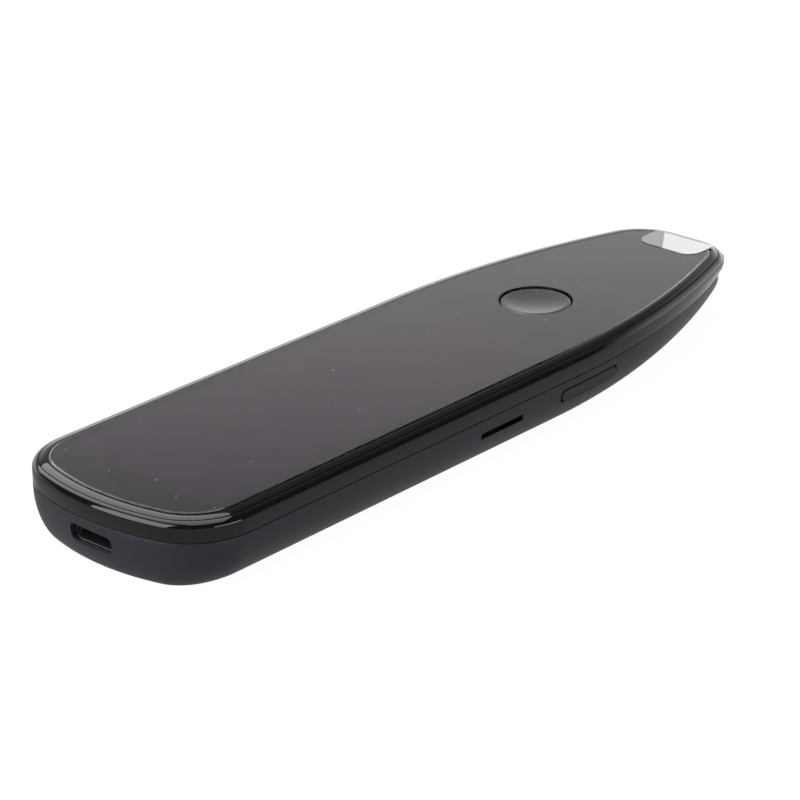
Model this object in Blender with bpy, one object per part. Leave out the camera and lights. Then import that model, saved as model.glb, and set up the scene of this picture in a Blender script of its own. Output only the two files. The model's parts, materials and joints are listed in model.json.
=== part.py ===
"""Handheld scanning pen with a glass front, a round scan button, a side key and a spring-back scan head.

All sizes are in metres. The pen lies on its back: +X runs from the tail to the nose, +Z is up through the
glass, and the origin is on the ground under the middle of its length. The board, the camera and all that hangs
from them take their heights from the film's top, and their places from the tail or the nose.
"""
import math

import bmesh
import bpy
from mathutils import Matrix, Vector

# Casing outline, seen from above
BODY_LENGTH = 0.1584
BODY_WIDTH = 0.0446
TAIL_BOW_RADIUS = 0.0386
TAIL_CORNER_RADIUS = 0.0116
TAPER_LENGTH = 0.0654
NOSE_CORNER_RADIUS = 0.01355
NOSE_FLAT_WIDTH = 0.0019

# Casing height and underside
BODY_HEIGHT = 0.0131
PARTING_DROP = 0.0040
UNDERSIDE_ROUNDING = 0.0068
ROUNDING_HEIGHT_SHARE = 0.75
TAIL_ROUNDING = 0.0017
TAIL_LEAN = 0.0015
LIFT_LENGTH = 0.0656
LIFT_EXPONENT = 1.93
NOSE_LIP_DROP = 0.0012

# Gaps and the overrun of every cut
SEAT_GAP = 0.0003
THIN_GAP = 0.00015
SLIDE_GAP = 0.0004
CUT_OVERRUN = 0.0015

# Shell
SHELL_WALL = 0.0016
INNER_FILLET = 0.0005
LIP_THICKNESS = 0.0005

# Frame
FRAME_EDGE_WIDTH = 0.0011
FRAME_EDGE_HEIGHT = 0.0012
FRAME_DROP = 0.00045
LEDGE_MARGIN = 0.0012
LEDGE_THICKNESS = 0.0013

# Film, glass, tape and pull tab
FILM_INSET = 0.0029
FILM_THICKNESS = 0.0002
FILM_HOLE_MARGIN = 0.0008
GLASS_THICKNESS = 0.0009
GLASS_EDGE_DROP = 0.0003
GLASS_EDGE_WIDTH = 0.0008
TAPE_THICKNESS = 0.0003
TAPE_MARGIN = 0.0003
TAB_LENGTH = 0.0113
TAB_WIDTH = 0.0120
TAB_CORNER = 0.0030
TAB_THICKNESS = 0.0002
TAB_OVERHANG = 0.0012

# Scan button
BUTTON_FROM_NOSE = 0.0466
BUTTON_RADIUS = 0.00645
BUTTON_DISH = 0.0004
BUTTON_RIM_WIDTH = 0.0005
BUTTON_RIM_DROP = 0.0002
BUTTON_FLANGE_WIDTH = 0.0011
BUTTON_FLANGE_THICKNESS = 0.0004
BUTTON_TRAVEL = 0.0003

# Side key
KEY_FROM_NOSE = 0.0583
KEY_LENGTH = 0.0157
KEY_WIDTH = 0.0019
KEY_RIM = 0.0009
KEY_SEAT_GAP = 0.00045
KEY_FLANGE_THICKNESS = 0.0007
KEY_TRAVEL = 0.0003

# Card slot and its socket
SLOT_FROM_NOSE = 0.0824
SLOT_LENGTH = 0.0112
SLOT_WIDTH = 0.0012
CARD_SIDE_GAP = 0.00005
CARD_THICKNESS = 0.0008
SOCKET_SIDE_WALL = 0.00175
SOCKET_BACK_WALL = 0.0023
SOCKET_DEPTH = 0.0143
SOCKET_FLOOR = 0.00025
SOCKET_THICKNESS = 0.0018
SOCKET_WALL_GAP = 0.0005

# Charging port
PORT_HOLE_WIDTH = 0.0095
PORT_HOLE_THICKNESS = 0.0033
PORT_HOLE_CORNER = 0.0013
PORT_SIDE_GAP = 0.00025
PORT_FLAT_GAP = 0.000175
PORT_BOARD_GAP = 0.000075
PORT_FROM_TAIL = 0.0014
PORT_LENGTH = 0.0072
PORT_WALL = 0.0002
PORT_BACK_WALL = 0.0006
TONGUE_SIDE_GAP = 0.00115
TONGUE_THICKNESS = 0.0007
TONGUE_CORNER = 0.0002
TONGUE_SETBACK = 0.0012

# Display and its plate
PLATE_THICKNESS = 0.0006
PLATE_HOOD_GAP = 0.0009
DISPLAY_FROM_TAIL = 0.0115
DISPLAY_BUTTON_GAP = 0.00725
DISPLAY_LEDGE_GAP = 0.0007
DISPLAY_CORNER = 0.0010

# Circuit board and what it carries
BOARD_PLATE_GAP = 0.00065
BOARD_THICKNESS = 0.0008
BOARD_WALL_GAP = 0.0005
BOARD_BRACKET_GAP = 0.0025
SHIELD_SHIFT = 0.0020
SHIELD_LENGTH = 0.0150
SHIELD_THICKNESS = 0.0013
SHIELD_CORNER = 0.0010
SHIELD_SOCKET_GAP = 0.0024
SHIELD_SIDE_MARGIN = 0.0088

# Screws
SCREW_WALL_GAP = 0.0008
SCREW_BATTERY_LEAD = 0.0040
SCREW_SLOT_LEAD = 0.0140
SCREW_HEAD_RADIUS = 0.0010
SCREW_HEAD_THICKNESS = 0.0005
SCREW_SHANK_RADIUS = 0.00055
SCREW_HOLE_RADIUS = 0.0008
SCREW_BITE = 0.0008

# Battery and speaker
BATTERY_FROM_TAIL = 0.0160
BATTERY_SOCKET_GAP = 0.0027
BATTERY_SIDE_MARGIN = 0.0063
BATTERY_BOARD_GAP = 0.0004
BATTERY_CORNER = 0.0012
CONNECTOR_LENGTH = 0.0024
CONNECTOR_WIDTH = 0.0040
CONNECTOR_THICKNESS = 0.0013
CONNECTOR_OFFSET = 0.0070
SPEAKER_SHIFT = 0.0025
SPEAKER_LENGTH = 0.0170
SPEAKER_WIDTH = 0.0115
SPEAKER_SHIELD_GAP = 0.0009
SPEAKER_CORNER = 0.0020
MESH_THICKNESS = 0.0002
MESH_MARGIN = 0.0010
SOUND_HOLE_RADIUS = 0.0006
SOUND_HOLE_PITCH = 0.0018
SOUND_HOLES_LONG = 6
SOUND_HOLES_WIDE = 2

# Scan head
HOOD_REACH = 0.0030
HOOD_INSIDE = 0.0101
HOOD_HEIGHT = 0.0036
HOOD_LEDGE_GAP = 0.00045
HOOD_SLANT = 0.0009
HOOD_TAPER = 0.0001
HOOD_CORNER = 0.0008
HOOD_EDGE = 0.0002
HOOD_WALL = 0.0007
HOOD_MOUTH_CORNER = 0.0004
HOOD_TRAVEL = 0.0006
EAR_SETBACK = 0.0068
EAR_THICKNESS = 0.0010
EAR_TOP_DROP = 0.0009
EAR_HEIGHT = 0.0017
ARM_LENGTH = 0.0043
ARM_WIDTH = 0.0012
ARM_HEIGHT = 0.0009
WINDOW_THICKNESS = 0.0006
WINDOW_RECESS = 0.0004

# Camera and lights behind the head
BRACKET_LEAD = 0.0080
BRACKET_MARGIN = 0.0002
BRACKET_THICKNESS = 0.0005
BRACKET_CORNER = 0.0010
BRACKET_SCREW_LEAD = 0.0035
BRACKET_SCREW_OFFSET = 0.0060
CHEEK_LEAD = 0.0015
CHEEK_SETBACK = 0.0005
CHEEK_THICKNESS = 0.0010
CHEEK_FLOOR_GAP = 0.0009
CAMERA_LENGTH = 0.0060
CAMERA_WIDTH = 0.0074
CAMERA_FLOOR_GAP = 0.0005
CAMERA_CORNER = 0.0004
BARREL_RADIUS = 0.0009
BARREL_LENGTH = 0.0040
BARREL_OUT = 0.0007
BARREL_CUP = 0.0007
LENS_RADIUS = 0.0005
LENS_THICKNESS = 0.0004
LENS_CROWN = 0.00015
LIGHTS_BOARD_THICKNESS = 0.0006
LIGHTS_BOARD_WIDTH = 0.0112
LIGHTS_FLOOR_GAP = 0.0003
LED_SIZE = 0.0014
LED_THICKNESS = 0.0006
LED_MARGIN = 0.0009
LED_HOOD_GAP = 0.00115

# Switches and the plungers that work them
PLUNGER_RADIUS = 0.0005
PLUNGER_HOLE_RADIUS = 0.0008
PLUNGER_OUTSIDE = 0.0009
PLUNGER_INSIDE = 0.0006
PLUNGER_END_GAP = 0.00005
BUTTON_SWITCH_RADIUS = 0.0022
BUTTON_SWITCH_PLUNGER_GAP = 0.0004
BUTTON_RECESS_FLOOR_SHARE = 0.25
KEY_SWITCH_LENGTH = 0.0040
KEY_SWITCH_DEPTH = 0.0032
KEY_SWITCH_THICKNESS = 0.0018
NIB_SWITCH_LENGTH = 0.0036
NIB_SWITCH_WIDTH = 0.0030
NIB_SWITCH_THICKNESS = 0.0018
NIB_SWITCH_CHEEK_GAP = 0.0013

# Ribbons
RIBBON_THICKNESS = 0.0002
RIBBON_BEND = 0.0005
DISPLAY_RIBBON_WIDTH = 0.0100
DISPLAY_RIBBON_RISE = 0.00075
DISPLAY_RIBBON_REACH = 0.0016
DISPLAY_RIBBON_TAIL = 0.0045
RIBBON_SLOT_MARGIN = 0.0005
CAMERA_RIBBON_WIDTH = 0.0050
CAMERA_RIBBON_TAIL = 0.0045

# Smoothness: how many steps each curve takes
TAIL_STEPS = 4
CORNER_STEPS = 8
SIDE_STEPS = 3
TAPER_STEPS = 10
NOSE_STEPS = 9
SECTION_STEPS = 7
INNER_SECTION_STEPS = 4
EDGE_STEPS = 5
SMALL_CORNER_STEPS = 4
RIBBON_BEND_STEPS = 3
DISH_STEPS = 5
BIG_ROUND_SIDES = 48
ROUND_SIDES = 24
SMALL_ROUND_SIDES = 12
SMOOTH_ANGLE = math.radians(35)

# Ends of the pen, and the taper that runs into the nose's corners
TOTAL_LENGTH = BODY_LENGTH + HOOD_REACH
TAIL_X = -TOTAL_LENGTH / 2
NOSE_X = TAIL_X + BODY_LENGTH
TAPER_X = NOSE_X - TAPER_LENGTH
LIFT_X = NOSE_X - LIFT_LENGTH
HALF_WIDTH = BODY_WIDTH / 2
NOSE_CORNER_Y = NOSE_FLAT_WIDTH / 2
TAPER_RADIUS = (
    (TAPER_LENGTH - NOSE_CORNER_RADIUS) ** 2 + (HALF_WIDTH - NOSE_CORNER_Y) ** 2 - NOSE_CORNER_RADIUS ** 2) / (
    2 * (HALF_WIDTH - NOSE_CORNER_Y - NOSE_CORNER_RADIUS))

# Heights, from the film down to what hangs under the board and the camera bracket
FRAME_TOP = BODY_HEIGHT - FRAME_DROP
FILM_FOOT = BODY_HEIGHT - FILM_THICKNESS
GLASS_TOP = FILM_FOOT - THIN_GAP
GLASS_FOOT = GLASS_TOP - GLASS_THICKNESS
TAPE_TOP = GLASS_FOOT - THIN_GAP
TAPE_FOOT = TAPE_TOP - TAPE_THICKNESS
LEDGE_TOP = TAPE_FOOT - THIN_GAP
LEDGE_FOOT = LEDGE_TOP - LEDGE_THICKNESS
PLATE_TOP = LEDGE_FOOT - SEAT_GAP
PLATE_FOOT = PLATE_TOP - PLATE_THICKNESS
BOARD_TOP = PLATE_FOOT - BOARD_PLATE_GAP
BOARD_FOOT = BOARD_TOP - BOARD_THICKNESS
UNDER_BOARD = BOARD_FOOT - SEAT_GAP
BRACKET_TOP = PLATE_FOOT - SEAT_GAP
BRACKET_FOOT = BRACKET_TOP - BRACKET_THICKNESS
UNDER_BRACKET = BRACKET_FOOT - SEAT_GAP
HOOD_TOP = LEDGE_FOOT - HOOD_LEDGE_GAP
HOOD_MIDDLE = HOOD_TOP - HOOD_HEIGHT / 2
NOSE_LIFT = HOOD_TOP - HOOD_HEIGHT - NOSE_LIP_DROP
PARTING = BODY_HEIGHT - PARTING_DROP
SHELL_RIM = PARTING - SEAT_GAP / 2
FRAME_FOOT = PARTING + SEAT_GAP / 2
LIP_TOP = LEDGE_FOOT - SEAT_GAP
SHANK_TOP = LEDGE_FOOT + SCREW_BITE
CARD_MIDDLE = UNDER_BOARD - SOCKET_THICKNESS + SOCKET_FLOOR + CARD_THICKNESS / 2
PORT_WIDTH = PORT_HOLE_WIDTH - 2 * PORT_SIDE_GAP
PORT_THICKNESS = PORT_HOLE_THICKNESS - 2 * PORT_FLAT_GAP
PORT_MIDDLE = UNDER_BOARD - PORT_BOARD_GAP - PORT_THICKNESS / 2
KEY_MIDDLE = UNDER_BOARD - KEY_SWITCH_THICKNESS / 2
MESH_FOOT = SHELL_WALL + THIN_GAP
SPEAKER_FOOT = MESH_FOOT + MESH_THICKNESS + THIN_GAP
BATTERY_FOOT = SHELL_WALL + SEAT_GAP

# Insets from the outline
LIP_INSET = SHELL_WALL - LIP_THICKNESS
FRAME_SKIRT = LIP_INSET - SEAT_GAP
GLASS_INSET = FRAME_EDGE_WIDTH + SEAT_GAP
PLATE_INSET = SHELL_WALL + SEAT_GAP
BOARD_INSET = SHELL_WALL + BOARD_WALL_GAP
SCREW_INSET = SHELL_WALL + SCREW_WALL_GAP + SCREW_HEAD_RADIUS
LEDGE_INSET = SCREW_INSET + LEDGE_MARGIN
KEY_INSET = SHELL_WALL + KEY_SEAT_GAP
KEY_BACK_INSET = KEY_INSET + KEY_FLANGE_THICKNESS

# Places along the pen
BUTTON_X = NOSE_X - BUTTON_FROM_NOSE
KEY_X = NOSE_X - KEY_FROM_NOSE
SLOT_X = NOSE_X - SLOT_FROM_NOSE
SPEAKER_X = SLOT_X + SPEAKER_SHIFT
SHIELD_X = SLOT_X + SHIELD_SHIFT
PORT_X = TAIL_X + PORT_FROM_TAIL
BATTERY_X = TAIL_X + BATTERY_FROM_TAIL
CARD_WIDTH = SLOT_LENGTH - 2 * CARD_SIDE_GAP
SOCKET_LENGTH = CARD_WIDTH + 2 * SOCKET_SIDE_WALL
BATTERY_END_X = SLOT_X - SOCKET_LENGTH / 2 - BATTERY_SOCKET_GAP
DISPLAY_START_X = TAIL_X + DISPLAY_FROM_TAIL
DISPLAY_END_X = BUTTON_X - BUTTON_RADIUS - BUTTON_FLANGE_WIDTH - DISPLAY_BUTTON_GAP
HOOD_FRONT_X = NOSE_X + HOOD_REACH
HOOD_BACK_X = NOSE_X - HOOD_INSIDE
EAR_X = NOSE_X - EAR_SETBACK
ARM_X = HOOD_BACK_X - ARM_LENGTH
PLATE_END_X = HOOD_BACK_X - HOOD_TRAVEL - PLATE_HOOD_GAP
LED_X = HOOD_BACK_X - HOOD_TRAVEL - LED_HOOD_GAP - LED_THICKNESS
LIGHTS_X = LED_X - THIN_GAP - LIGHTS_BOARD_THICKNESS
BARREL_X = LIGHTS_X + LIGHTS_BOARD_THICKNESS + BARREL_OUT - BARREL_LENGTH
CAMERA_X = BARREL_X - CAMERA_LENGTH
BRACKET_X = CAMERA_X - BRACKET_LEAD
BOARD_END_X = BRACKET_X - BOARD_BRACKET_GAP
NIB_PLUNGER_X = ARM_X - THIN_GAP
NIB_SWITCH_X = NIB_PLUNGER_X - PLUNGER_OUTSIDE

# Places and widths across the pen
CHEEK_Y = CAMERA_WIDTH / 2 + SEAT_GAP
ARM_Y = CHEEK_Y + CHEEK_THICKNESS + NIB_SWITCH_CHEEK_GAP + NIB_SWITCH_WIDTH / 2
HOOD_WIDTH = 2 * (ARM_Y - ARM_WIDTH / 2 - SLIDE_GAP)
BRACKET_WIDTH = 2 * (ARM_Y + NIB_SWITCH_WIDTH / 2 + BRACKET_MARGIN)
ARM_MIDDLE = UNDER_BRACKET - NIB_SWITCH_THICKNESS / 2
LED_Y = LIGHTS_BOARD_WIDTH / 2 - LED_MARGIN - LED_SIZE / 2
SOCKET_Y = -HALF_WIDTH + SHELL_WALL + SOCKET_WALL_GAP
SHIELD_NEAR_Y = SOCKET_Y + SOCKET_DEPTH + SHIELD_SOCKET_GAP
SHIELD_FAR_Y = HALF_WIDTH - SHIELD_SIDE_MARGIN
BATTERY_WIDTH = BODY_WIDTH - 2 * BATTERY_SIDE_MARGIN
DISPLAY_WIDTH = BODY_WIDTH - 2 * (LEDGE_INSET + DISPLAY_LEDGE_GAP)
BUTTON_HOLE_RADIUS = BUTTON_RADIUS + SEAT_GAP


def blend(a, b, share):
    """The value a share of the way from a to b."""
    return a + (b - a) * share


def steps(start, end, count):
    """Even steps from start to end, both included."""
    return [blend(start, end, i / count) for i in range(count + 1)]


# Outline of the casing

def half_outline():
    """Points and outward directions from the middle of the tail to the flat tip of the nose, on the +Y side."""
    bow_centre = TAIL_X + TAIL_BOW_RADIUS
    reach = TAIL_BOW_RADIUS - TAIL_CORNER_RADIUS
    corner_y = HALF_WIDTH - TAIL_CORNER_RADIUS
    turn = math.asin(corner_y / reach)
    corner_x = bow_centre - reach * math.cos(turn)
    rows = []
    for angle in steps(0, turn, TAIL_STEPS):
        way = (-math.cos(angle), math.sin(angle))
        rows.append((bow_centre + TAIL_BOW_RADIUS * way[0], TAIL_BOW_RADIUS * way[1], way))
    for angle in steps(turn, math.pi / 2, CORNER_STEPS)[1:]:
        way = (-math.cos(angle), math.sin(angle))
        rows.append((corner_x + TAIL_CORNER_RADIUS * way[0], corner_y + TAIL_CORNER_RADIUS * way[1], way))
    for x in steps(corner_x, TAPER_X, SIDE_STEPS)[1:]:
        rows.append((x, HALF_WIDTH, (0, 1)))
    nose_centre = NOSE_X - NOSE_CORNER_RADIUS
    taper_turn = math.asin((nose_centre - TAPER_X) / (TAPER_RADIUS - NOSE_CORNER_RADIUS))
    for angle in steps(0, taper_turn, TAPER_STEPS)[1:]:
        way = (math.sin(angle), math.cos(angle))
        rows.append((TAPER_X + TAPER_RADIUS * way[0], HALF_WIDTH - TAPER_RADIUS + TAPER_RADIUS * way[1], way))
    for angle in steps(taper_turn, math.pi / 2, NOSE_STEPS)[1:]:
        way = (math.sin(angle), math.cos(angle))
        rows.append((
            nose_centre + NOSE_CORNER_RADIUS * way[0], NOSE_CORNER_Y + NOSE_CORNER_RADIUS * way[1], way))
    return rows


def full_outline():
    """The whole outline, from the middle of the tail along the +Y side to the nose and back along -Y."""
    half = half_outline()[1:]
    mirrored = [(x, -y, (way[0], -way[1])) for x, y, way in reversed(half)]
    return [(TAIL_X, 0, (-1, 0))] + half + mirrored


OUTLINE = full_outline()


def ring(inset, height):
    """The outline drawn in by an inset, at one height."""
    return [(x - way[0] * inset, y - way[1] * inset, height) for x, y, way in OUTLINE]


def side_y(x, inset):
    """How far the side wall lies from the middle line at x, drawn in by an inset."""
    run = max(x - TAPER_X, 0)
    return HALF_WIDTH - TAPER_RADIUS + math.sqrt((TAPER_RADIUS - inset) ** 2 - run ** 2)


def lift(x):
    """How far the underside has risen from the ground at x."""
    share = max(x - LIFT_X, 0) / (NOSE_X - LIFT_X)
    return NOSE_LIFT * share ** LIFT_EXPONENT


def section_ring(angle, wall):
    """A ring of the rounding between the upright wall and the underside, moved in by a wall's thickness.

    The angle runs from 0, at the foot of the upright wall, to a quarter turn, at the underside.
    """
    points = []
    for x, y, way in OUTLINE:
        tail_share = max(-way[0], 0) ** 2
        ground = lift(x)
        side_rise = ROUNDING_HEIGHT_SHARE * (PARTING - ground)
        across = max(blend(UNDERSIDE_ROUNDING, TAIL_ROUNDING, tail_share) - wall, INNER_FILLET)
        up = max(blend(side_rise, TAIL_ROUNDING, tail_share) - wall, INNER_FILLET)
        inset = wall + TAIL_LEAN * tail_share + across * (1 - math.cos(angle))
        points.append((x - way[0] * inset, y - way[1] * inset, ground + wall + up * (1 - math.sin(angle))))
    return points


# Making meshes

def material(name, colour, roughness, metallic=0.0, alpha=1.0):
    """A plain finish with the real material's colour, roughness and metallic value."""
    finish = bpy.data.materials.new(name)
    finish.use_nodes = True
    shader = finish.node_tree.nodes["Principled BSDF"]
    shader.inputs["Base Color"].default_value = (*colour, 1.0)
    shader.inputs["Roughness"].default_value = roughness
    shader.inputs["Metallic"].default_value = metallic
    shader.inputs["Alpha"].default_value = alpha
    return finish


def finish_object(name, mesh, finish):
    """Turn a bmesh into a named object with its faces outward, smooth but for its sharp edges."""
    bmesh.ops.recalc_face_normals(mesh, faces=mesh.faces)
    data = bpy.data.meshes.new(name)
    mesh.to_mesh(data)
    mesh.free()
    data.shade_smooth()
    data.set_sharp_from_angle(angle=SMOOTH_ANGLE)
    data.materials.append(finish)
    obj = bpy.data.objects.new(name, data)
    bpy.context.scene.collection.objects.link(obj)
    return obj


def rows_of(mesh, rings):
    """The rings' points as vertices."""
    return [[mesh.verts.new(point) for point in points] for points in rings]


def add_walls(mesh, rows, closed=False):
    """Join rows of points, all with the same count, by four-sided faces."""
    pairs = list(zip(rows, rows[1:]))
    if closed:
        pairs.append((rows[-1], rows[0]))
    count = len(rows[0])
    for low, high in pairs:
        for i in range(count):
            j = (i + 1) % count
            mesh.faces.new((low[i], low[j], high[j], high[i]))


def close_across(mesh, row):
    """Close a row of the outline with strips from side to side."""
    mesh.faces.new((row[0], row[1], row[-1]))
    for i in range(1, len(row) // 2):
        mesh.faces.new((row[i], row[i + 1], row[-i - 1], row[-i]))


def outline_solid(name, rings, finish):
    """A solid through rings of the casing's outline, closed across at both ends."""
    mesh = bmesh.new()
    rows = rows_of(mesh, rings)
    add_walls(mesh, rows)
    close_across(mesh, rows[0])
    close_across(mesh, rows[-1])
    return finish_object(name, mesh, finish)


def hoop(name, rings, finish):
    """A solid that is open in the middle: its rings go round the section and back to the first."""
    mesh = bmesh.new()
    add_walls(mesh, rows_of(mesh, rings), closed=True)
    return finish_object(name, mesh, finish)


def lofted(name, rings, finish):
    """A solid through rings of any flat shape, with a flat face at each end."""
    mesh = bmesh.new()
    rows = rows_of(mesh, rings)
    add_walls(mesh, rows)
    mesh.faces.new(rows[0])
    mesh.faces.new(rows[-1])
    return finish_object(name, mesh, finish)


def round_rectangle(length, width, corner):
    """A rectangle with round corners about the origin, as pairs of numbers."""
    points = []
    for quarter, (sign_a, sign_b) in enumerate(((1, 1), (-1, 1), (-1, -1), (1, -1))):
        for turn in steps(0, math.pi / 2, SMALL_CORNER_STEPS):
            angle = turn + quarter * math.pi / 2
            a = sign_a * (length / 2 - corner) + corner * math.cos(angle)
            b = sign_b * (width / 2 - corner) + corner * math.sin(angle)
            points.append((a, b))
    return points


def slab(name, x, y, low, high, length, width, corner, finish):
    """An upright slab with round corners in plan, between two heights."""
    plan = round_rectangle(length, width, corner)
    return lofted(name, [[(x + a, y + b, z) for a, b in plan] for z in (low, high)], finish)


def block(name, low, high, finish):
    """A box between two corners."""
    plan = ((low[0], low[1]), (high[0], low[1]), (high[0], high[1]), (low[0], high[1]))
    return lofted(name, [[(x, y, z) for x, y in plan] for z in (low[2], high[2])], finish)


def turned(name, centre, axis, profile, sides, finish):
    """A solid of revolution about X, Y or Z: the profile is (radius, distance along the axis)."""
    rings = []
    for radius, distance in profile:
        points = []
        for i in range(sides):
            turn = 2 * math.pi * i / sides
            a = radius * math.cos(turn)
            b = radius * math.sin(turn)
            way = {"X": (distance, a, b), "Y": (a, distance, b), "Z": (a, b, distance)}[axis]
            points.append(tuple(c + w for c, w in zip(centre, way)))
        rings.append(points)
    return lofted(name, rings, finish)


def rod(name, centre, axis, radius, start, end, sides, finish):
    """A round bar along an axis, between two distances from the centre."""
    return turned(name, centre, axis, ((radius, start), (radius, end)), sides, finish)


def boolean(obj, tool, operation):
    """Cut, join or cross one shape with another, and keep the tool out of the model."""
    change = obj.modifiers.new(tool.name, "BOOLEAN")
    change.operation = operation
    change.solver = "EXACT"
    change.object = tool
    tool.hide_render = True
    tool.display_type = "WIRE"


def cut(obj, tool):
    """Take one shape out of another."""
    boolean(obj, tool, "DIFFERENCE")


def gather(name, pieces):
    """Put cutters that don't touch each other into one."""
    mesh = bmesh.new()
    for piece in pieces:
        mesh.from_mesh(piece.data)
        bpy.data.objects.remove(piece, do_unlink=True)
    return finish_object(name, mesh, None)


def move_origin(obj, point):
    """Put an object's origin at a point and leave its shape where it is."""
    obj.data.transform(Matrix.Translation(-Vector(point)))
    obj.location = point


# Shell

def hood_passage(name):
    """The way through the nose that the scan head slides in."""
    plan = round_rectangle(HOOD_WIDTH + 2 * SLIDE_GAP, HOOD_HEIGHT + 2 * SLIDE_GAP, HOOD_CORNER + SLIDE_GAP)
    ends = (HOOD_BACK_X - HOOD_TRAVEL, NOSE_X + CUT_OVERRUN)
    return lofted(name, [[(x, a, HOOD_MIDDLE + b) for a, b in plan] for x in ends], None)


def key_bar(name, growth, near_y, far_y, finish):
    """A round-ended bar across the side wall, as large as the key and a growth more on each side."""
    plan = round_rectangle(KEY_LENGTH + 2 * growth, KEY_WIDTH + 2 * growth, KEY_WIDTH / 2)
    return lofted(name, [[(KEY_X + a, y, KEY_MIDDLE + b) for a, b in plan] for y in (near_y, far_y)], finish)


def make_bottom_shell(finish):
    """The lower casing: a boat-shaped tray whose lip stands up inside the frame's skirt."""
    quarter = math.pi / 2
    inside = [section_ring(angle, SHELL_WALL) for angle in steps(quarter, 0, INNER_SECTION_STEPS)]
    rim = [
        ring(SHELL_WALL, LIP_TOP), ring(LIP_INSET, LIP_TOP), ring(LIP_INSET, SHELL_RIM), ring(0, SHELL_RIM)]
    outside = [section_ring(angle, 0) for angle in steps(0, quarter, SECTION_STEPS)]
    shell = outline_solid("bottom_shell", inside + rim + outside, finish)

    hole = round_rectangle(PORT_HOLE_WIDTH, PORT_HOLE_THICKNESS, PORT_HOLE_CORNER)
    inner_x = TAIL_X + TAIL_LEAN + SHELL_WALL + CUT_OVERRUN
    cut(shell, lofted(
        "port_cutter",
        [[(x, a, PORT_MIDDLE + b) for a, b in hole] for x in (TAIL_X - CUT_OVERRUN, inner_x)], None))
    cut(shell, block(
        "slot_cutter",
        (SLOT_X - SLOT_LENGTH / 2, -HALF_WIDTH - CUT_OVERRUN, CARD_MIDDLE - SLOT_WIDTH / 2),
        (SLOT_X + SLOT_LENGTH / 2, -HALF_WIDTH + SHELL_WALL + CUT_OVERRUN, CARD_MIDDLE + SLOT_WIDTH / 2),
        None))
    wall_y = -side_y(KEY_X, 0)
    cut(shell, key_bar(
        "key_hole_cutter", SEAT_GAP, wall_y - CUT_OVERRUN, wall_y + SHELL_WALL + CUT_OVERRUN, None))
    cut(shell, hood_passage("hood_cutter"))
    cut(shell, sound_holes())
    return shell


def sound_holes():
    """Cutters for the sound holes under the speaker, in rows."""
    first_x = SPEAKER_X - (SOUND_HOLES_LONG - 1) * SOUND_HOLE_PITCH / 2
    first_y = -(SOUND_HOLES_WIDE - 1) * SOUND_HOLE_PITCH / 2
    pieces = []
    for column in range(SOUND_HOLES_LONG):
        for row in range(SOUND_HOLES_WIDE):
            place = (first_x + column * SOUND_HOLE_PITCH, first_y + row * SOUND_HOLE_PITCH, 0)
            pieces.append(rod(
                "sound_hole", place, "Z", SOUND_HOLE_RADIUS, -CUT_OVERRUN, SHELL_WALL + CUT_OVERRUN,
                SMALL_ROUND_SIDES, None))
    return gather("sound_hole_cutter", pieces)


# Screws and their holes

def board_screw_places():
    """Where the board screws stand: in pairs beside the battery, before the card slot and at the button."""
    places = []
    for x in (BATTERY_X + SCREW_BATTERY_LEAD, SLOT_X - SCREW_SLOT_LEAD, BUTTON_X):
        y = side_y(x, SCREW_INSET)
        places += [(x, -y, 0), (x, y, 0)]
    return places


def bracket_screw_places():
    """Where the two screws of the camera bracket stand."""
    x = BRACKET_X + BRACKET_SCREW_LEAD
    return [(x, -BRACKET_SCREW_OFFSET, 0), (x, BRACKET_SCREW_OFFSET, 0)]


def drill(obj, places, low, high):
    """Drill a screw hole at each place, between two heights."""
    pieces = [
        rod("screw_hole", place, "Z", SCREW_HOLE_RADIUS, low, high, SMALL_ROUND_SIDES, None)
        for place in places]
    cut(obj, gather(f"{obj.name}_drill", pieces))


def make_screws(name, places, head_top, shank_top, finish):
    """A screw at each place, put in from below: a flat head and a plain shank."""
    profile = (
        (SCREW_HEAD_RADIUS, head_top - SCREW_HEAD_THICKNESS), (SCREW_HEAD_RADIUS, head_top),
        (SCREW_SHANK_RADIUS, head_top), (SCREW_SHANK_RADIUS, shank_top))
    for number, place in enumerate(places, 1):
        turned(f"{name}_{number}", place, "Z", profile, SMALL_ROUND_SIDES, finish)


# Frame

def make_mid_frame(finish):
    """The glossy frame: a rounded outer edge, a ledge under the glass and a skirt over the shell's lip."""
    edge = []
    for angle in steps(0, math.pi / 2, EDGE_STEPS):
        inset = FRAME_EDGE_WIDTH * (1 - math.cos(angle))
        edge.append(ring(inset, FRAME_TOP - FRAME_EDGE_HEIGHT * (1 - math.sin(angle))))
    inner = [
        ring(FRAME_EDGE_WIDTH, LEDGE_TOP), ring(LEDGE_INSET, LEDGE_TOP), ring(LEDGE_INSET, LEDGE_FOOT),
        ring(FRAME_SKIRT, LEDGE_FOOT), ring(FRAME_SKIRT, FRAME_FOOT)]
    frame = hoop("mid_frame", [ring(0, FRAME_FOOT)] + edge + inner, finish)
    drill(frame, board_screw_places(), LEDGE_FOOT - CUT_OVERRUN, SHANK_TOP + SEAT_GAP)
    cut(frame, hood_passage("hood_notch_cutter"))
    return frame


# Front: glass, tape, film and pull tab

def button_hole(name, radius):
    """A round cutter on the button's axis, through the glass and the film."""
    return rod(
        name, (BUTTON_X, 0, 0), "Z", radius, GLASS_FOOT - CUT_OVERRUN, BODY_HEIGHT + CUT_OVERRUN,
        BIG_ROUND_SIDES, None)


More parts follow.
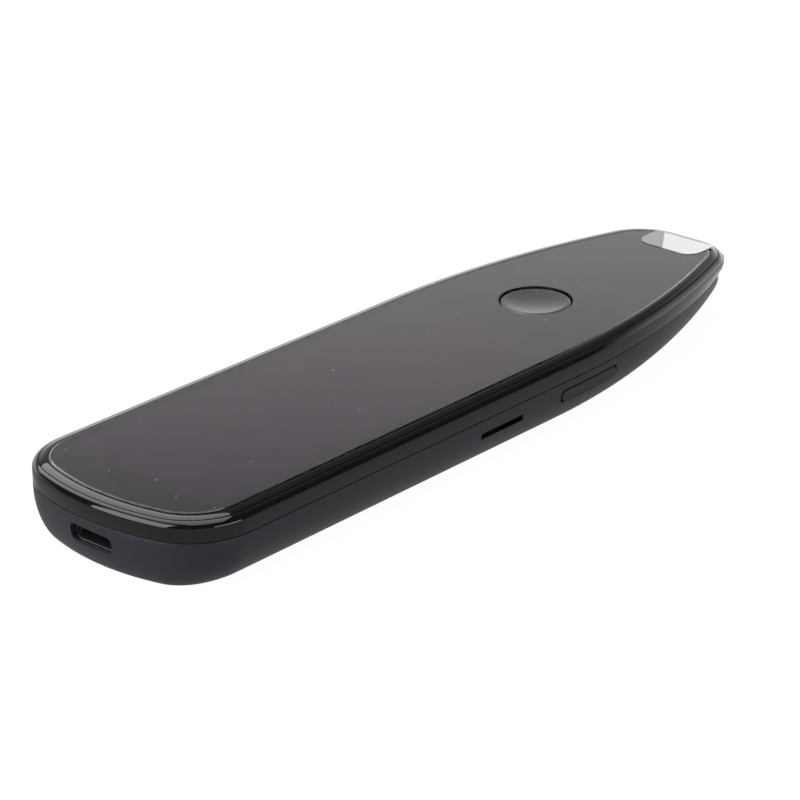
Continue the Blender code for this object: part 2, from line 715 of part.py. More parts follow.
def make_cover_glass(finish):
    """The front glass, with its upper edge softened."""
    edge = []
    for angle in steps(0, math.pi / 2, EDGE_STEPS):
        inset = GLASS_INSET + GLASS_EDGE_WIDTH * (1 - math.cos(angle))
        edge.append(ring(inset, GLASS_TOP - GLASS_EDGE_DROP * (1 - math.sin(angle))))
    glass = outline_solid("cover_glass", [ring(GLASS_INSET, GLASS_FOOT)] + edge, finish)
    cut(glass, button_hole("glass_hole_cutter", BUTTON_HOLE_RADIUS))
    return glass


def make_glass_tape(finish):
    """The band of tape between the glass and the ledge."""
    outer = GLASS_INSET + TAPE_MARGIN
    inner = LEDGE_INSET - TAPE_MARGIN
    return hoop("glass_tape", [
        ring(outer, TAPE_FOOT), ring(outer, TAPE_TOP), ring(inner, TAPE_TOP), ring(inner, TAPE_FOOT)], finish)


def make_screen_film(finish):
    """The clear film on the glass, open round the button."""
    rings = [ring(FILM_INSET, FILM_FOOT), ring(FILM_INSET, BODY_HEIGHT)]
    film = outline_solid("screen_film", rings, finish)
    cut(film, button_hole("film_hole_cutter", BUTTON_HOLE_RADIUS + FILM_HOLE_MARGIN))
    return film


def make_pull_tab(finish):
    """The film's pull tab, which lies on the film and reaches over the nose."""
    foot = BODY_HEIGHT + THIN_GAP
    return slab(
        "film_pull_tab", NOSE_X + TAB_OVERHANG - TAB_LENGTH / 2, 0, foot, foot + TAB_THICKNESS,
        TAB_LENGTH, TAB_WIDTH, TAB_CORNER, finish)


# Scan button and its switch

BUTTON_FLANGE_TOP = GLASS_FOOT - SEAT_GAP
BUTTON_FOOT = BUTTON_FLANGE_TOP - BUTTON_FLANGE_THICKNESS
BUTTON_PLUNGER_TOP = BUTTON_FOOT - THIN_GAP
BUTTON_SWITCH_FOOT = PLATE_TOP + SEAT_GAP
BUTTON_SWITCH_TOP = BUTTON_PLUNGER_TOP - BUTTON_SWITCH_PLUNGER_GAP
BUTTON_RECESS_FOOT = blend(BUTTON_SWITCH_FOOT, BUTTON_SWITCH_TOP, BUTTON_RECESS_FLOOR_SHARE)
BUTTON_PLUNGER_FOOT = BUTTON_RECESS_FOOT + PLUNGER_END_GAP + BUTTON_TRAVEL


def make_scan_button(finish):
    """The round cap: dished on top, with a flange under the glass that holds it in."""
    flange_radius = BUTTON_RADIUS + BUTTON_FLANGE_WIDTH
    dish_radius = BUTTON_RADIUS - BUTTON_RIM_WIDTH
    profile = [
        (flange_radius, BUTTON_FOOT), (flange_radius, BUTTON_FLANGE_TOP), (BUTTON_RADIUS, BUTTON_FLANGE_TOP),
        (BUTTON_RADIUS, GLASS_TOP - BUTTON_RIM_DROP)]
    for share in steps(1, 0, DISH_STEPS)[:-1]:
        profile.append((dish_radius * share, GLASS_TOP - BUTTON_DISH * (1 - share ** 2)))
    cap = turned("scan_button", (BUTTON_X, 0, 0), "Z", profile, BIG_ROUND_SIDES, finish)
    move_origin(cap, (BUTTON_X, 0, GLASS_TOP))
    return cap


def make_button_switch(finish):
    """The round switch under the button, on the display plate, with a hole for its plunger."""
    centre = (BUTTON_X, 0, 0)
    switch = rod(
        "button_switch", centre, "Z", BUTTON_SWITCH_RADIUS, BUTTON_SWITCH_FOOT, BUTTON_SWITCH_TOP,
        ROUND_SIDES, finish)
    cut(switch, rod(
        "button_switch_cutter", centre, "Z", PLUNGER_HOLE_RADIUS, BUTTON_RECESS_FOOT,
        BUTTON_SWITCH_TOP + CUT_OVERRUN, SMALL_ROUND_SIDES, None))
    return switch


def make_button_plunger(finish):
    """The post that the button pushes into its switch."""
    post = rod(
        "button_plunger", (BUTTON_X, 0, 0), "Z", PLUNGER_RADIUS, BUTTON_PLUNGER_FOOT, BUTTON_PLUNGER_TOP,
        SMALL_ROUND_SIDES, finish)
    move_origin(post, (BUTTON_X, 0, BUTTON_PLUNGER_TOP))
    return post


# Side key and its switch

KEY_WALL_Y = -side_y(KEY_X, 0)
KEY_BACK_Y = -side_y(KEY_X, KEY_BACK_INSET)
KEY_FLANGE_HALF_LENGTH = KEY_LENGTH / 2 + KEY_RIM
KEY_PLUNGER_Y = KEY_BACK_Y + THIN_GAP
KEY_SWITCH_Y = KEY_PLUNGER_Y + PLUNGER_OUTSIDE


def wall_band(name, outer_inset, inner_inset):
    """A curtain between two insets of the outline, which shapes what sits in the side wall."""
    low = 0
    high = PARTING
    return hoop(name, [
        ring(outer_inset, low), ring(outer_inset, high), ring(inner_inset, high), ring(inner_inset, low)], None)


def make_side_key(finish):
    """The long key: its face follows the wall, and a wider flange behind the wall holds it in."""
    key = key_bar("side_key", 0, KEY_WALL_Y - CUT_OVERRUN, KEY_BACK_Y + CUT_OVERRUN, finish)
    boolean(key, wall_band("key_band", 0, (KEY_INSET + KEY_BACK_INSET) / 2), "INTERSECT")
    flange = block(
        "key_flange",
        (KEY_X - KEY_FLANGE_HALF_LENGTH, KEY_WALL_Y, KEY_MIDDLE - KEY_WIDTH / 2),
        (KEY_X + KEY_FLANGE_HALF_LENGTH, KEY_BACK_Y + CUT_OVERRUN, KEY_MIDDLE + KEY_WIDTH / 2 + KEY_RIM),
        finish)
    boolean(flange, wall_band("key_flange_band", KEY_INSET, KEY_BACK_INSET), "INTERSECT")
    boolean(key, flange, "UNION")
    move_origin(key, (KEY_X, KEY_WALL_Y, KEY_MIDDLE))
    return key


def make_key_switch(finish):
    """The side switch behind the key, under the board, with a hole for its plunger."""
    switch = block(
        "key_switch",
        (KEY_X - KEY_SWITCH_LENGTH / 2, KEY_SWITCH_Y, UNDER_BOARD - KEY_SWITCH_THICKNESS),
        (KEY_X + KEY_SWITCH_LENGTH / 2, KEY_SWITCH_Y + KEY_SWITCH_DEPTH, UNDER_BOARD), finish)
    depth = PLUNGER_INSIDE + KEY_TRAVEL + PLUNGER_END_GAP
    cut(switch, rod(
        "key_switch_cutter", (KEY_X, KEY_SWITCH_Y, KEY_MIDDLE), "Y", PLUNGER_HOLE_RADIUS, -CUT_OVERRUN, depth,
        SMALL_ROUND_SIDES, None))
    return switch


def make_key_plunger(finish):
    """The post that the key pushes into its switch."""
    centre = (KEY_X, KEY_PLUNGER_Y, KEY_MIDDLE)
    post = rod(
        "key_plunger", centre, "Y", PLUNGER_RADIUS, 0, PLUNGER_OUTSIDE + PLUNGER_INSIDE,
        SMALL_ROUND_SIDES, finish)
    move_origin(post, centre)
    return post


# Port and card socket

def port_ring(x, shrink):
    """A ring of the charging port's section, drawn in on all sides."""
    corner = PORT_HOLE_CORNER - PORT_FLAT_GAP - shrink
    plan = round_rectangle(PORT_WIDTH - 2 * shrink, PORT_THICKNESS - 2 * shrink, corner)
    return [(x, a, PORT_MIDDLE + b) for a, b in plan]


def make_port_shell(finish):
    """The metal shell of the charging port, open to the tail and closed at the back."""
    back = PORT_X + PORT_LENGTH
    return lofted("port_shell", [
        port_ring(back, 0), port_ring(PORT_X, 0), port_ring(PORT_X, PORT_WALL),
        port_ring(back - PORT_BACK_WALL, PORT_WALL)], finish)


def make_port_tongue(finish):
    """The contact tongue in the middle of the port."""
    ends = (PORT_X + TONGUE_SETBACK, PORT_X + PORT_LENGTH - PORT_BACK_WALL - SEAT_GAP)
    plan = round_rectangle(PORT_WIDTH - 2 * TONGUE_SIDE_GAP, TONGUE_THICKNESS, TONGUE_CORNER)
    return lofted("port_tongue", [[(x, a, PORT_MIDDLE + b) for a, b in plan] for x in ends], finish)


def make_card_socket(finish):
    """The card socket behind the slot, under the board."""
    far_y = SOCKET_Y + SOCKET_DEPTH
    socket = block(
        "card_socket",
        (SLOT_X - SOCKET_LENGTH / 2, SOCKET_Y, UNDER_BOARD - SOCKET_THICKNESS),
        (SLOT_X + SOCKET_LENGTH / 2, far_y, UNDER_BOARD), finish)
    cut(socket, block(
        "card_cutter",
        (SLOT_X - CARD_WIDTH / 2, SOCKET_Y - CUT_OVERRUN, CARD_MIDDLE - CARD_THICKNESS / 2),
        (SLOT_X + CARD_WIDTH / 2, far_y - SOCKET_BACK_WALL, CARD_MIDDLE + CARD_THICKNESS / 2), None))
    return socket


# Display, plate and ribbons

DISPLAY_RIBBON_X = DISPLAY_END_X + SEAT_GAP + DISPLAY_RIBBON_REACH


def make_display_panel(finish):
    """The screen, in the opening of the frame's ledge."""
    return slab(
        "display_panel", (DISPLAY_START_X + DISPLAY_END_X) / 2, 0, PLATE_TOP + SEAT_GAP, GLASS_FOOT - SEAT_GAP,
        DISPLAY_END_X - DISPLAY_START_X, DISPLAY_WIDTH, DISPLAY_CORNER, finish)


def make_display_plate(finish):
    """The metal plate under the screen, screwed to the ledge, with a slot for the screen's ribbon."""
    rings = [ring(PLATE_INSET, PLATE_FOOT), ring(PLATE_INSET, PLATE_TOP)]
    plate = outline_solid("display_plate", rings, finish)
    cut(plate, block(
        "plate_end_cutter", (PLATE_END_X, -HALF_WIDTH, PLATE_FOOT - CUT_OVERRUN),
        (NOSE_X, HALF_WIDTH, PLATE_TOP + CUT_OVERRUN), None))
    half_slot = DISPLAY_RIBBON_WIDTH / 2 + RIBBON_SLOT_MARGIN
    cut(plate, block(
        "ribbon_slot_cutter", (DISPLAY_RIBBON_X - RIBBON_SLOT_MARGIN, -half_slot, PLATE_FOOT - CUT_OVERRUN),
        (DISPLAY_RIBBON_X + RIBBON_BEND + RIBBON_SLOT_MARGIN, half_slot, PLATE_TOP + CUT_OVERRUN), None))
    drill(plate, board_screw_places() + bracket_screw_places(), PLATE_FOOT - CUT_OVERRUN,
          PLATE_TOP + CUT_OVERRUN)
    return plate


def ribbon(name, path, width, finish):
    """A flat ribbon that follows a path of (x, z) points, offset to both sides by half its thickness."""
    upper = []
    lower = []
    for i, (x, z) in enumerate(path):
        before = path[max(i - 1, 0)]
        after = path[min(i + 1, len(path) - 1)]
        way = Vector((after[0] - before[0], after[1] - before[1])).normalized()
        across = Vector((-way.y, way.x)) * RIBBON_THICKNESS / 2
        upper.append((x + across.x, z + across.y))
        lower.append((x - across.x, z - across.y))
    side = upper + lower[::-1]
    return lofted(name, [[(x, y, z) for x, z in side] for y in (-width / 2, width / 2)], finish)


def make_display_flex(finish):
    """The screen's ribbon: out of its end, down through the plate and along the top of the board."""
    display_level = PLATE_TOP + DISPLAY_RIBBON_RISE
    board_level = BOARD_TOP + SEAT_GAP + RIBBON_THICKNESS / 2
    path = [(DISPLAY_END_X + SEAT_GAP, display_level)]
    for angle in steps(math.pi / 2, 0, RIBBON_BEND_STEPS):
        path.append((
            DISPLAY_RIBBON_X - RIBBON_BEND + RIBBON_BEND * math.cos(angle),
            display_level - RIBBON_BEND + RIBBON_BEND * math.sin(angle)))
    for angle in steps(math.pi, 3 * math.pi / 2, RIBBON_BEND_STEPS):
        path.append((
            DISPLAY_RIBBON_X + RIBBON_BEND + RIBBON_BEND * math.cos(angle),
            board_level + RIBBON_BEND + RIBBON_BEND * math.sin(angle)))
    path.append((DISPLAY_RIBBON_X + RIBBON_BEND + DISPLAY_RIBBON_TAIL, board_level))
    return ribbon("display_flex", path, DISPLAY_RIBBON_WIDTH, finish)


def make_camera_flex(finish):
    """The camera's ribbon, which runs under the board."""
    level = UNDER_BOARD - RIBBON_THICKNESS / 2
    path = [(BOARD_END_X - CAMERA_RIBBON_TAIL, level), (CAMERA_X - SEAT_GAP, level)]
    return ribbon("camera_flex", path, CAMERA_RIBBON_WIDTH, finish)


# Board, screening, battery and speaker

def make_main_board(finish):
    """The circuit board, drilled for its screws and notched for the key's flange."""
    board = outline_solid("main_board", [ring(BOARD_INSET, BOARD_FOOT), ring(BOARD_INSET, BOARD_TOP)], finish)
    low = BOARD_FOOT - CUT_OVERRUN
    high = BOARD_TOP + CUT_OVERRUN
    cut(board, block(
        "board_end_cutter", (BOARD_END_X, -HALF_WIDTH, low), (NOSE_X, HALF_WIDTH, high), None))
    reach = KEY_FLANGE_HALF_LENGTH + 2 * SEAT_GAP
    notch_y = -side_y(KEY_X + reach, KEY_BACK_INSET) + KEY_TRAVEL + SEAT_GAP
    cut(board, block(
        "board_notch_cutter", (KEY_X - reach, -HALF_WIDTH, low), (KEY_X + reach, notch_y, high), None))
    drill(board, board_screw_places(), low, high)
    return board


def make_shield_can(finish):
    """The screening can over the processor, under the board."""
    return slab(
        "shield_can", SHIELD_X, (SHIELD_NEAR_Y + SHIELD_FAR_Y) / 2, UNDER_BOARD - SHIELD_THICKNESS, UNDER_BOARD,
        SHIELD_LENGTH, SHIELD_FAR_Y - SHIELD_NEAR_Y, SHIELD_CORNER, finish)


def make_battery(finish):
    """The flat battery, on the shell's floor."""
    return slab(
        "battery", (BATTERY_X + BATTERY_END_X) / 2, 0, BATTERY_FOOT, UNDER_BOARD - BATTERY_BOARD_GAP,
        BATTERY_END_X - BATTERY_X, BATTERY_WIDTH, BATTERY_CORNER, finish)


def make_battery_connector(finish):
    """The battery's plug, under the board just past the battery."""
    start = BATTERY_END_X + SEAT_GAP
    return block(
        "battery_connector",
        (start, CONNECTOR_OFFSET - CONNECTOR_WIDTH / 2, UNDER_BOARD - CONNECTOR_THICKNESS),
        (start + CONNECTOR_LENGTH, CONNECTOR_OFFSET + CONNECTOR_WIDTH / 2, UNDER_BOARD), finish)


def make_speaker_mesh(finish):
    """The dust mesh between the sound holes and the speaker."""
    return slab(
        "speaker_mesh", SPEAKER_X, 0, MESH_FOOT, MESH_FOOT + MESH_THICKNESS, SPEAKER_LENGTH - 2 * MESH_MARGIN,
        SPEAKER_WIDTH - 2 * MESH_MARGIN, SPEAKER_CORNER, finish)


def make_speaker(finish):
    """The speaker, between its mesh and the screening can."""
    return slab(
        "speaker", SPEAKER_X, 0, SPEAKER_FOOT, UNDER_BOARD - SHIELD_THICKNESS - SPEAKER_SHIELD_GAP,
        SPEAKER_LENGTH, SPEAKER_WIDTH, SPEAKER_CORNER, finish)


# Scan head

def hood_ring(x, shrink, corner, slant):
    """A ring of the hood's section, drawn in on all sides, that lies back from its front's upper edge."""
    upper_edge = HOOD_HEIGHT / 2 - HOOD_TAPER - HOOD_EDGE
    plan = round_rectangle(HOOD_WIDTH - 2 * shrink, HOOD_HEIGHT - 2 * shrink, corner)
    return [(x - slant * (upper_edge - b) / HOOD_HEIGHT, a, HOOD_MIDDLE + b) for a, b in plan]


def make_scan_hood(finish):
    """The hollow scan head, with ears that stop it at the nose wall and an arm on each side to guide it."""
    hood = hoop("scan_hood", [
        hood_ring(HOOD_BACK_X, 0, HOOD_CORNER, 0),
        hood_ring(NOSE_X, 0, HOOD_CORNER, 0),
        hood_ring(HOOD_FRONT_X - HOOD_EDGE, HOOD_TAPER, HOOD_CORNER, HOOD_SLANT),
        hood_ring(HOOD_FRONT_X, HOOD_TAPER + HOOD_EDGE, HOOD_CORNER, HOOD_SLANT),
        hood_ring(HOOD_FRONT_X, HOOD_TAPER + HOOD_WALL, HOOD_MOUTH_CORNER, HOOD_SLANT),
        hood_ring(HOOD_BACK_X, HOOD_TAPER + HOOD_WALL, HOOD_MOUTH_CORNER, 0)], finish)
    ear_top = HOOD_TOP - EAR_TOP_DROP
    for side in (-1, 1):
        ear_span = sorted((side * (HOOD_WIDTH - HOOD_WALL) / 2, side * (ARM_Y + ARM_WIDTH / 2)))
        boolean(hood, block(
            f"hood_ear_{side}", (EAR_X, ear_span[0], ear_top - EAR_HEIGHT),
            (EAR_X + EAR_THICKNESS, ear_span[1], ear_top), finish), "UNION")
        arm_span = sorted((side * (ARM_Y - ARM_WIDTH / 2), side * (ARM_Y + ARM_WIDTH / 2)))
        boolean(hood, block(
            f"hood_arm_{side}", (ARM_X, arm_span[0], ARM_MIDDLE - ARM_HEIGHT / 2),
            (EAR_X + EAR_THICKNESS / 2, arm_span[1], ARM_MIDDLE + ARM_HEIGHT / 2), finish), "UNION")
    move_origin(hood, (HOOD_FRONT_X, 0, HOOD_MIDDLE))
    return hood


def make_scan_window(finish):
    """The clear window in the hood's mouth."""
    front = HOOD_FRONT_X - WINDOW_RECESS
    shrink = HOOD_TAPER + HOOD_WALL + THIN_GAP
    window = lofted("scan_window", [
        hood_ring(front - WINDOW_THICKNESS, shrink, HOOD_MOUTH_CORNER, HOOD_SLANT),
        hood_ring(front, shrink, HOOD_MOUTH_CORNER, HOOD_SLANT)], finish)
    move_origin(window, (HOOD_FRONT_X, 0, HOOD_MIDDLE))
    return window


def make_nib_switch(finish):
    """The switch behind one arm of the hood, under the camera bracket."""
    switch = block(
        "nib_switch",
        (NIB_SWITCH_X - NIB_SWITCH_LENGTH, ARM_Y - NIB_SWITCH_WIDTH / 2, UNDER_BRACKET - NIB_SWITCH_THICKNESS),
        (NIB_SWITCH_X, ARM_Y + NIB_SWITCH_WIDTH / 2, UNDER_BRACKET), finish)
    depth = PLUNGER_INSIDE + HOOD_TRAVEL + PLUNGER_END_GAP
    cut(switch, rod(
        "nib_switch_cutter", (NIB_SWITCH_X, ARM_Y, ARM_MIDDLE), "X", PLUNGER_HOLE_RADIUS, -depth, CUT_OVERRUN,
        SMALL_ROUND_SIDES, None))
    return switch


def make_nib_plunger(finish):
    """The post that the hood's arm pushes into its switch."""
    centre = (NIB_PLUNGER_X, ARM_Y, ARM_MIDDLE)
    post = rod(
        "nib_plunger", centre, "X", PLUNGER_RADIUS, -PLUNGER_OUTSIDE - PLUNGER_INSIDE, 0,
        SMALL_ROUND_SIDES, finish)
    move_origin(post, centre)
    return post


# Camera and lights

CAMERA_FOOT = lift(BARREL_X) + SHELL_WALL + CAMERA_FLOOR_GAP
BARREL_MIDDLE = (CAMERA_FOOT + UNDER_BRACKET) / 2


def make_camera_bracket(finish):
    """The bracket under the plate, with a cheek on each side of the camera."""
    bracket = slab(
        "camera_bracket", (BRACKET_X + PLATE_END_X) / 2, 0, BRACKET_FOOT, BRACKET_TOP, PLATE_END_X - BRACKET_X,
        BRACKET_WIDTH, BRACKET_CORNER, finish)
    foot = lift(BARREL_X) + SHELL_WALL + CHEEK_FLOOR_GAP
    for side in (-1, 1):
        span = sorted((side * CHEEK_Y, side * (CHEEK_Y + CHEEK_THICKNESS)))
        boolean(bracket, block(
            f"bracket_cheek_{side}", (CAMERA_X - CHEEK_LEAD, span[0], foot),
            (BARREL_X - CHEEK_SETBACK, span[1], (BRACKET_FOOT + BRACKET_TOP) / 2), finish), "UNION")
    drill(bracket, bracket_screw_places(), BRACKET_FOOT - CUT_OVERRUN, BRACKET_TOP + CUT_OVERRUN)
    return bracket


def make_camera_module(finish):
    """The camera: a small housing and a barrel that points to the nose, with a cup for its lens."""
    camera = slab(
        "camera_module", BARREL_X - CAMERA_LENGTH / 2, 0, CAMERA_FOOT, UNDER_BRACKET, CAMERA_LENGTH,
        CAMERA_WIDTH, CAMERA_CORNER, finish)
    cup_radius = LENS_RADIUS + THIN_GAP
    cup_floor = BARREL_LENGTH - BARREL_CUP
    profile = (
        (BARREL_RADIUS, -CAMERA_CORNER), (BARREL_RADIUS, BARREL_LENGTH), (cup_radius, BARREL_LENGTH),
        (cup_radius, cup_floor))
    barrel = turned("camera_barrel", (BARREL_X, 0, BARREL_MIDDLE), "X", profile, ROUND_SIDES, finish)
    boolean(camera, barrel, "UNION")
    return camera


def make_camera_lens(finish):
    """The lens in the end of the barrel, slightly crowned."""
    foot = BARREL_LENGTH - BARREL_CUP + THIN_GAP
    top = foot + LENS_THICKNESS
    profile = ((LENS_RADIUS, foot), (LENS_RADIUS, top - LENS_CROWN), (LENS_RADIUS / 2, top))
    return turned("camera_lens", (BARREL_X, 0, BARREL_MIDDLE), "X", profile, SMALL_ROUND_SIDES, finish)


def make_lights_board(finish):
    """The upright board that the barrel passes through."""
    far_x = LIGHTS_X + LIGHTS_BOARD_THICKNESS
    board = block(
        "led_board", (LIGHTS_X, -LIGHTS_BOARD_WIDTH / 2, lift(far_x) + SHELL_WALL + LIGHTS_FLOOR_GAP),
        (far_x, LIGHTS_BOARD_WIDTH / 2, UNDER_BRACKET), finish)
    cut(board, rod(
        "led_board_cutter", (LIGHTS_X, 0, BARREL_MIDDLE), "X", BARREL_RADIUS + SEAT_GAP, -CUT_OVERRUN,
        LIGHTS_BOARD_THICKNESS + CUT_OVERRUN, ROUND_SIDES, None))
    return board


def make_scan_leds(finish):
    """The two lights beside the lens."""
    for number, y in enumerate((-LED_Y, LED_Y), 1):
        block(
            f"scan_led_{number}", (LED_X, y - LED_SIZE / 2, BARREL_MIDDLE - LED_SIZE / 2),
            (LED_X + LED_THICKNESS, y + LED_SIZE / 2, BARREL_MIDDLE + LED_SIZE / 2), finish)


def build():
    """Make every piece of the pen."""
    for obj in list(bpy.data.objects):
        bpy.data.objects.remove(obj, do_unlink=True)

    matte_black = material("matte_black_casing", (0.036, 0.034, 0.042), 0.55)
    gloss_black = material("gloss_black_frame", (0.010, 0.010, 0.011), 0.08)
    dark_glass = material("dark_glass", (0.008, 0.008, 0.009), 0.03)
    clear_film = material("clear_film", (0.80, 0.80, 0.82), 0.05, alpha=0.25)
    white_tab = material("white_tab", (0.82, 0.83, 0.84), 0.45)
    satin_black = material("satin_black_cap", (0.016, 0.016, 0.017), 0.25)
    black_plastic = material("black_plastic", (0.012, 0.012, 0.013), 0.45)
    clear_plastic = material("clear_plastic", (0.85, 0.86, 0.87), 0.05, alpha=0.35)
    steel = material("stamped_steel", (0.55, 0.55, 0.56), 0.30, 1.0)
    screw_steel = material("dark_screw_steel", (0.20, 0.20, 0.21), 0.40, 1.0)
    tape_black = material("black_tape", (0.015, 0.015, 0.015), 0.80)
    board_green = material("green_board", (0.020, 0.120, 0.055), 0.45)
    battery_silver = material("battery_pouch", (0.45, 0.45, 0.47), 0.35, 0.6)
    ribbon_amber = material("amber_ribbon", (0.45, 0.22, 0.05), 0.35)
    screen_grey = material("screen_grey", (0.030, 0.030, 0.034), 0.20)
    mesh_grey = material("mesh_grey", (0.10, 0.10, 0.10), 0.70)
    lens_glass = material("lens_glass", (0.020, 0.022, 0.040), 0.02)
    light_yellow = material("light_yellow", (0.80, 0.72, 0.30), 0.30)
    ivory = material("ivory_plastic", (0.62, 0.60, 0.52), 0.45)

    make_bottom_shell(matte_black)
    make_mid_frame(gloss_black)
    make_cover_glass(dark_glass)
    make_glass_tape(tape_black)
    make_screen_film(clear_film)
    make_pull_tab(white_tab)

    make_scan_button(satin_black)
    make_button_switch(steel)
    make_button_plunger(black_plastic)
    make_side_key(matte_black)
    make_key_switch(steel)
    make_key_plunger(black_plastic)

    make_port_shell(steel)
    make_port_tongue(black_plastic)
    make_card_socket(steel)

    make_display_panel(screen_grey)
    make_display_plate(steel)
    make_display_flex(ribbon_amber)
    make_main_board(board_green)
    make_screws("board_screw", board_screw_places(), UNDER_BOARD, SHANK_TOP, screw_steel)
    make_shield_can(steel)
    make_battery(battery_silver)
    make_battery_connector(ivory)
    make_speaker_mesh(mesh_grey)
    make_speaker(black_plastic)

    make_scan_hood(black_plastic)
    make_scan_window(clear_plastic)
    make_nib_switch(steel)
    make_nib_plunger(black_plastic)
    make_camera_bracket(black_plastic)
    make_screws("bracket_screw", bracket_screw_places(), UNDER_BRACKET, PLATE_TOP, screw_steel)
    make_camera_module(black_plastic)
    make_camera_lens(lens_glass)
    make_lights_board(board_green)
    make_scan_leds(light_yellow)
    make_camera_flex(ribbon_amber)


build()
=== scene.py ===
# %% [markdown]
# # A scanning pen on its back
# The pen lies with its glass up on a white table. Its tail, with the charging port, is nearest to us, and
# its nose, with the scan head, points away to the upper right. The measured model comes first and stays as
# it is: every piece made here takes its place from the same sizes, so that nothing has to be fitted by eye.

# %% Load the measured model
import json
import math

import bmesh
import bpy
import numpy as np
from mathutils import Matrix, Vector


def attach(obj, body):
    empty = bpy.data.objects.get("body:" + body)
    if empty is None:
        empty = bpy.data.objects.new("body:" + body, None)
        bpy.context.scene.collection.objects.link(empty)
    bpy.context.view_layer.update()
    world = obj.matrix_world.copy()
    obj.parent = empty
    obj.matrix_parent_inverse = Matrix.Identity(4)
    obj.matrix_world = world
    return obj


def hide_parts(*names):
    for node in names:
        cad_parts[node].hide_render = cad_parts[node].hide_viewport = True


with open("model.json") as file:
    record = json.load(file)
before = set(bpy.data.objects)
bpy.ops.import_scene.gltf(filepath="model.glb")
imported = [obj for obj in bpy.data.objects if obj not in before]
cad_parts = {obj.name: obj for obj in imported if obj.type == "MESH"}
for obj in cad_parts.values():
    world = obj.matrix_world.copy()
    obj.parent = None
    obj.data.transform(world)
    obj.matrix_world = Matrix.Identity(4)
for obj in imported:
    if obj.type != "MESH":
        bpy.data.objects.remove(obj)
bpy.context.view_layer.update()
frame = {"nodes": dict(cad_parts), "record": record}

nodes = frame["nodes"]

# %% [markdown]
# ## Colours and nodes
# A colour is written as it looks on a screen, in hex, but the renderer adds up light in linear values, so one
# function turns the first into the second. One more function puts a node into a material with its settings
# and links, which keeps each finish short enough to read.

# %% Colours and nodes
TOE, TOE_SLOPE, SHIFT, GAMMA, FULL_CHANNEL = 0.04045, 12.92, 0.055, 2.4, 255


def linear(code):
    """An sRGB hex colour in linear values, by the inverse of the screen's curve, channel by channel.

    Up to the toe it is channel / slope, and above the toe ((channel + shift) / (1 + shift)) to the power gamma.
    """
    screen = np.frombuffer(bytes.fromhex(code[1:]), np.uint8) / FULL_CHANNEL
    curved = np.where(screen <= TOE, screen / TOE_SLOPE, ((screen + SHIFT) / (1 + SHIFT)) ** GAMMA)
    return (*curved.tolist(), 1.0)


def add(tree, kind, sockets=None, **settings):
    """One node: its settings are properties, its sockets take a value or another node's output."""
    node = tree.nodes.new(kind)
    for key, value in settings.items():
        setattr(node, key, value)
    for key, value in (sockets or {}).items():
        if isinstance(value, bpy.types.NodeSocket):
            tree.links.new(value, node.inputs[key])
        else:
            node.inputs[key].default_value = value
    return node


# %% [markdown]
# ## What most finishes share
# A moulded, rolled or printed surface is never quite even. Most finishes here therefore get a fine relief from
# a noise, which also changes the roughness and the colour a little from place to place. Its cells have their
# size in metres, so that a grain of 0.3 mm is the same on every piece.

# %% A finish, its grain and its small changes
NOISE_ROUGHNESS, NOISE_LOW, NOISE_HIGH = 0.55, 0.3, 0.7


def new_finish(name, **values):
    """A material with one Principled shader: the values are its sockets, with _ for each space."""
    finish = bpy.data.materials.new(name)
    finish.use_nodes = True
    shader = finish.node_tree.nodes["Principled BSDF"]
    for key, value in values.items():
        shader.inputs[key.replace("_", " ")].default_value = value
    print("finish", name)
    return finish, finish.node_tree, shader


def grain(tree, shader, size, height, detail=2.0):
    """A fine bump: noise whose cells have the given size, raised by the given height, both in metres.

    It gives back the coordinates and the noise.
    """
    place = add(tree, "ShaderNodeTexCoord")
    noise = add(tree, "ShaderNodeTexNoise", {
        "Vector": place.outputs["Object"], "Scale": 1 / size, "Detail": detail, "Roughness": NOISE_ROUGHNESS})
    bump = add(tree, "ShaderNodeBump", {"Height": noise.outputs["Fac"], "Distance": height, "Strength": 1.0})
    tree.links.new(bump.outputs["Normal"], shader.inputs["Normal"])
    return place, noise


def vary(tree, shader, socket, noise, low, high):
    """Let a noise drive one socket of the shader between two values."""
    spread = add(tree, "ShaderNodeMapRange", {
        "Value": noise.outputs["Fac"], "From Min": NOISE_LOW, "From Max": NOISE_HIGH,
        "To Min": low, "To Max": high})
    tree.links.new(spread.outputs["Result"], shader.inputs[socket])


def tint(tree, shader, noise, dark, pale):
    """Let a noise mix two colours, which are close to each other, into the base colour."""
    spread = add(tree, "ShaderNodeMapRange", {
        "Value": noise.outputs["Fac"], "From Min": NOISE_LOW, "From Max": NOISE_HIGH})
    mix = add(tree, "ShaderNodeMix", {
        "Factor": spread.outputs["Result"], "A": linear(dark), "B": linear(pale)}, data_type="RGBA")
    tree.links.new(mix.outputs["Result"], shader.inputs["Base Color"])


def grained(name, size, height, dark, pale, rough=None, detail=2.0, **values):
    """A finish whose grain also drives its colour and, where it is given limits, its roughness."""
    finish, tree, shader = new_finish(name, **values)
    noise = grain(tree, shader, size, height, detail)[1]
    if rough:
        vary(tree, shader, "Roughness", noise, *rough)
    tint(tree, shader, noise, dark, pale)
    return finish


# %% [markdown]
# ## Sheets of points
# Each new piece is a surface: a grid of points in rows and columns, worked out as whole arrays. Neighbouring
# points make four-sided faces, several grids are welded where their edges meet, and the normals are turned
# outwards. That gives closed pieces with clean highlights, which a few edited cubes would not.

# %% From grids of points to a mesh
WELD = 1e-6
SHARP = math.radians(32)


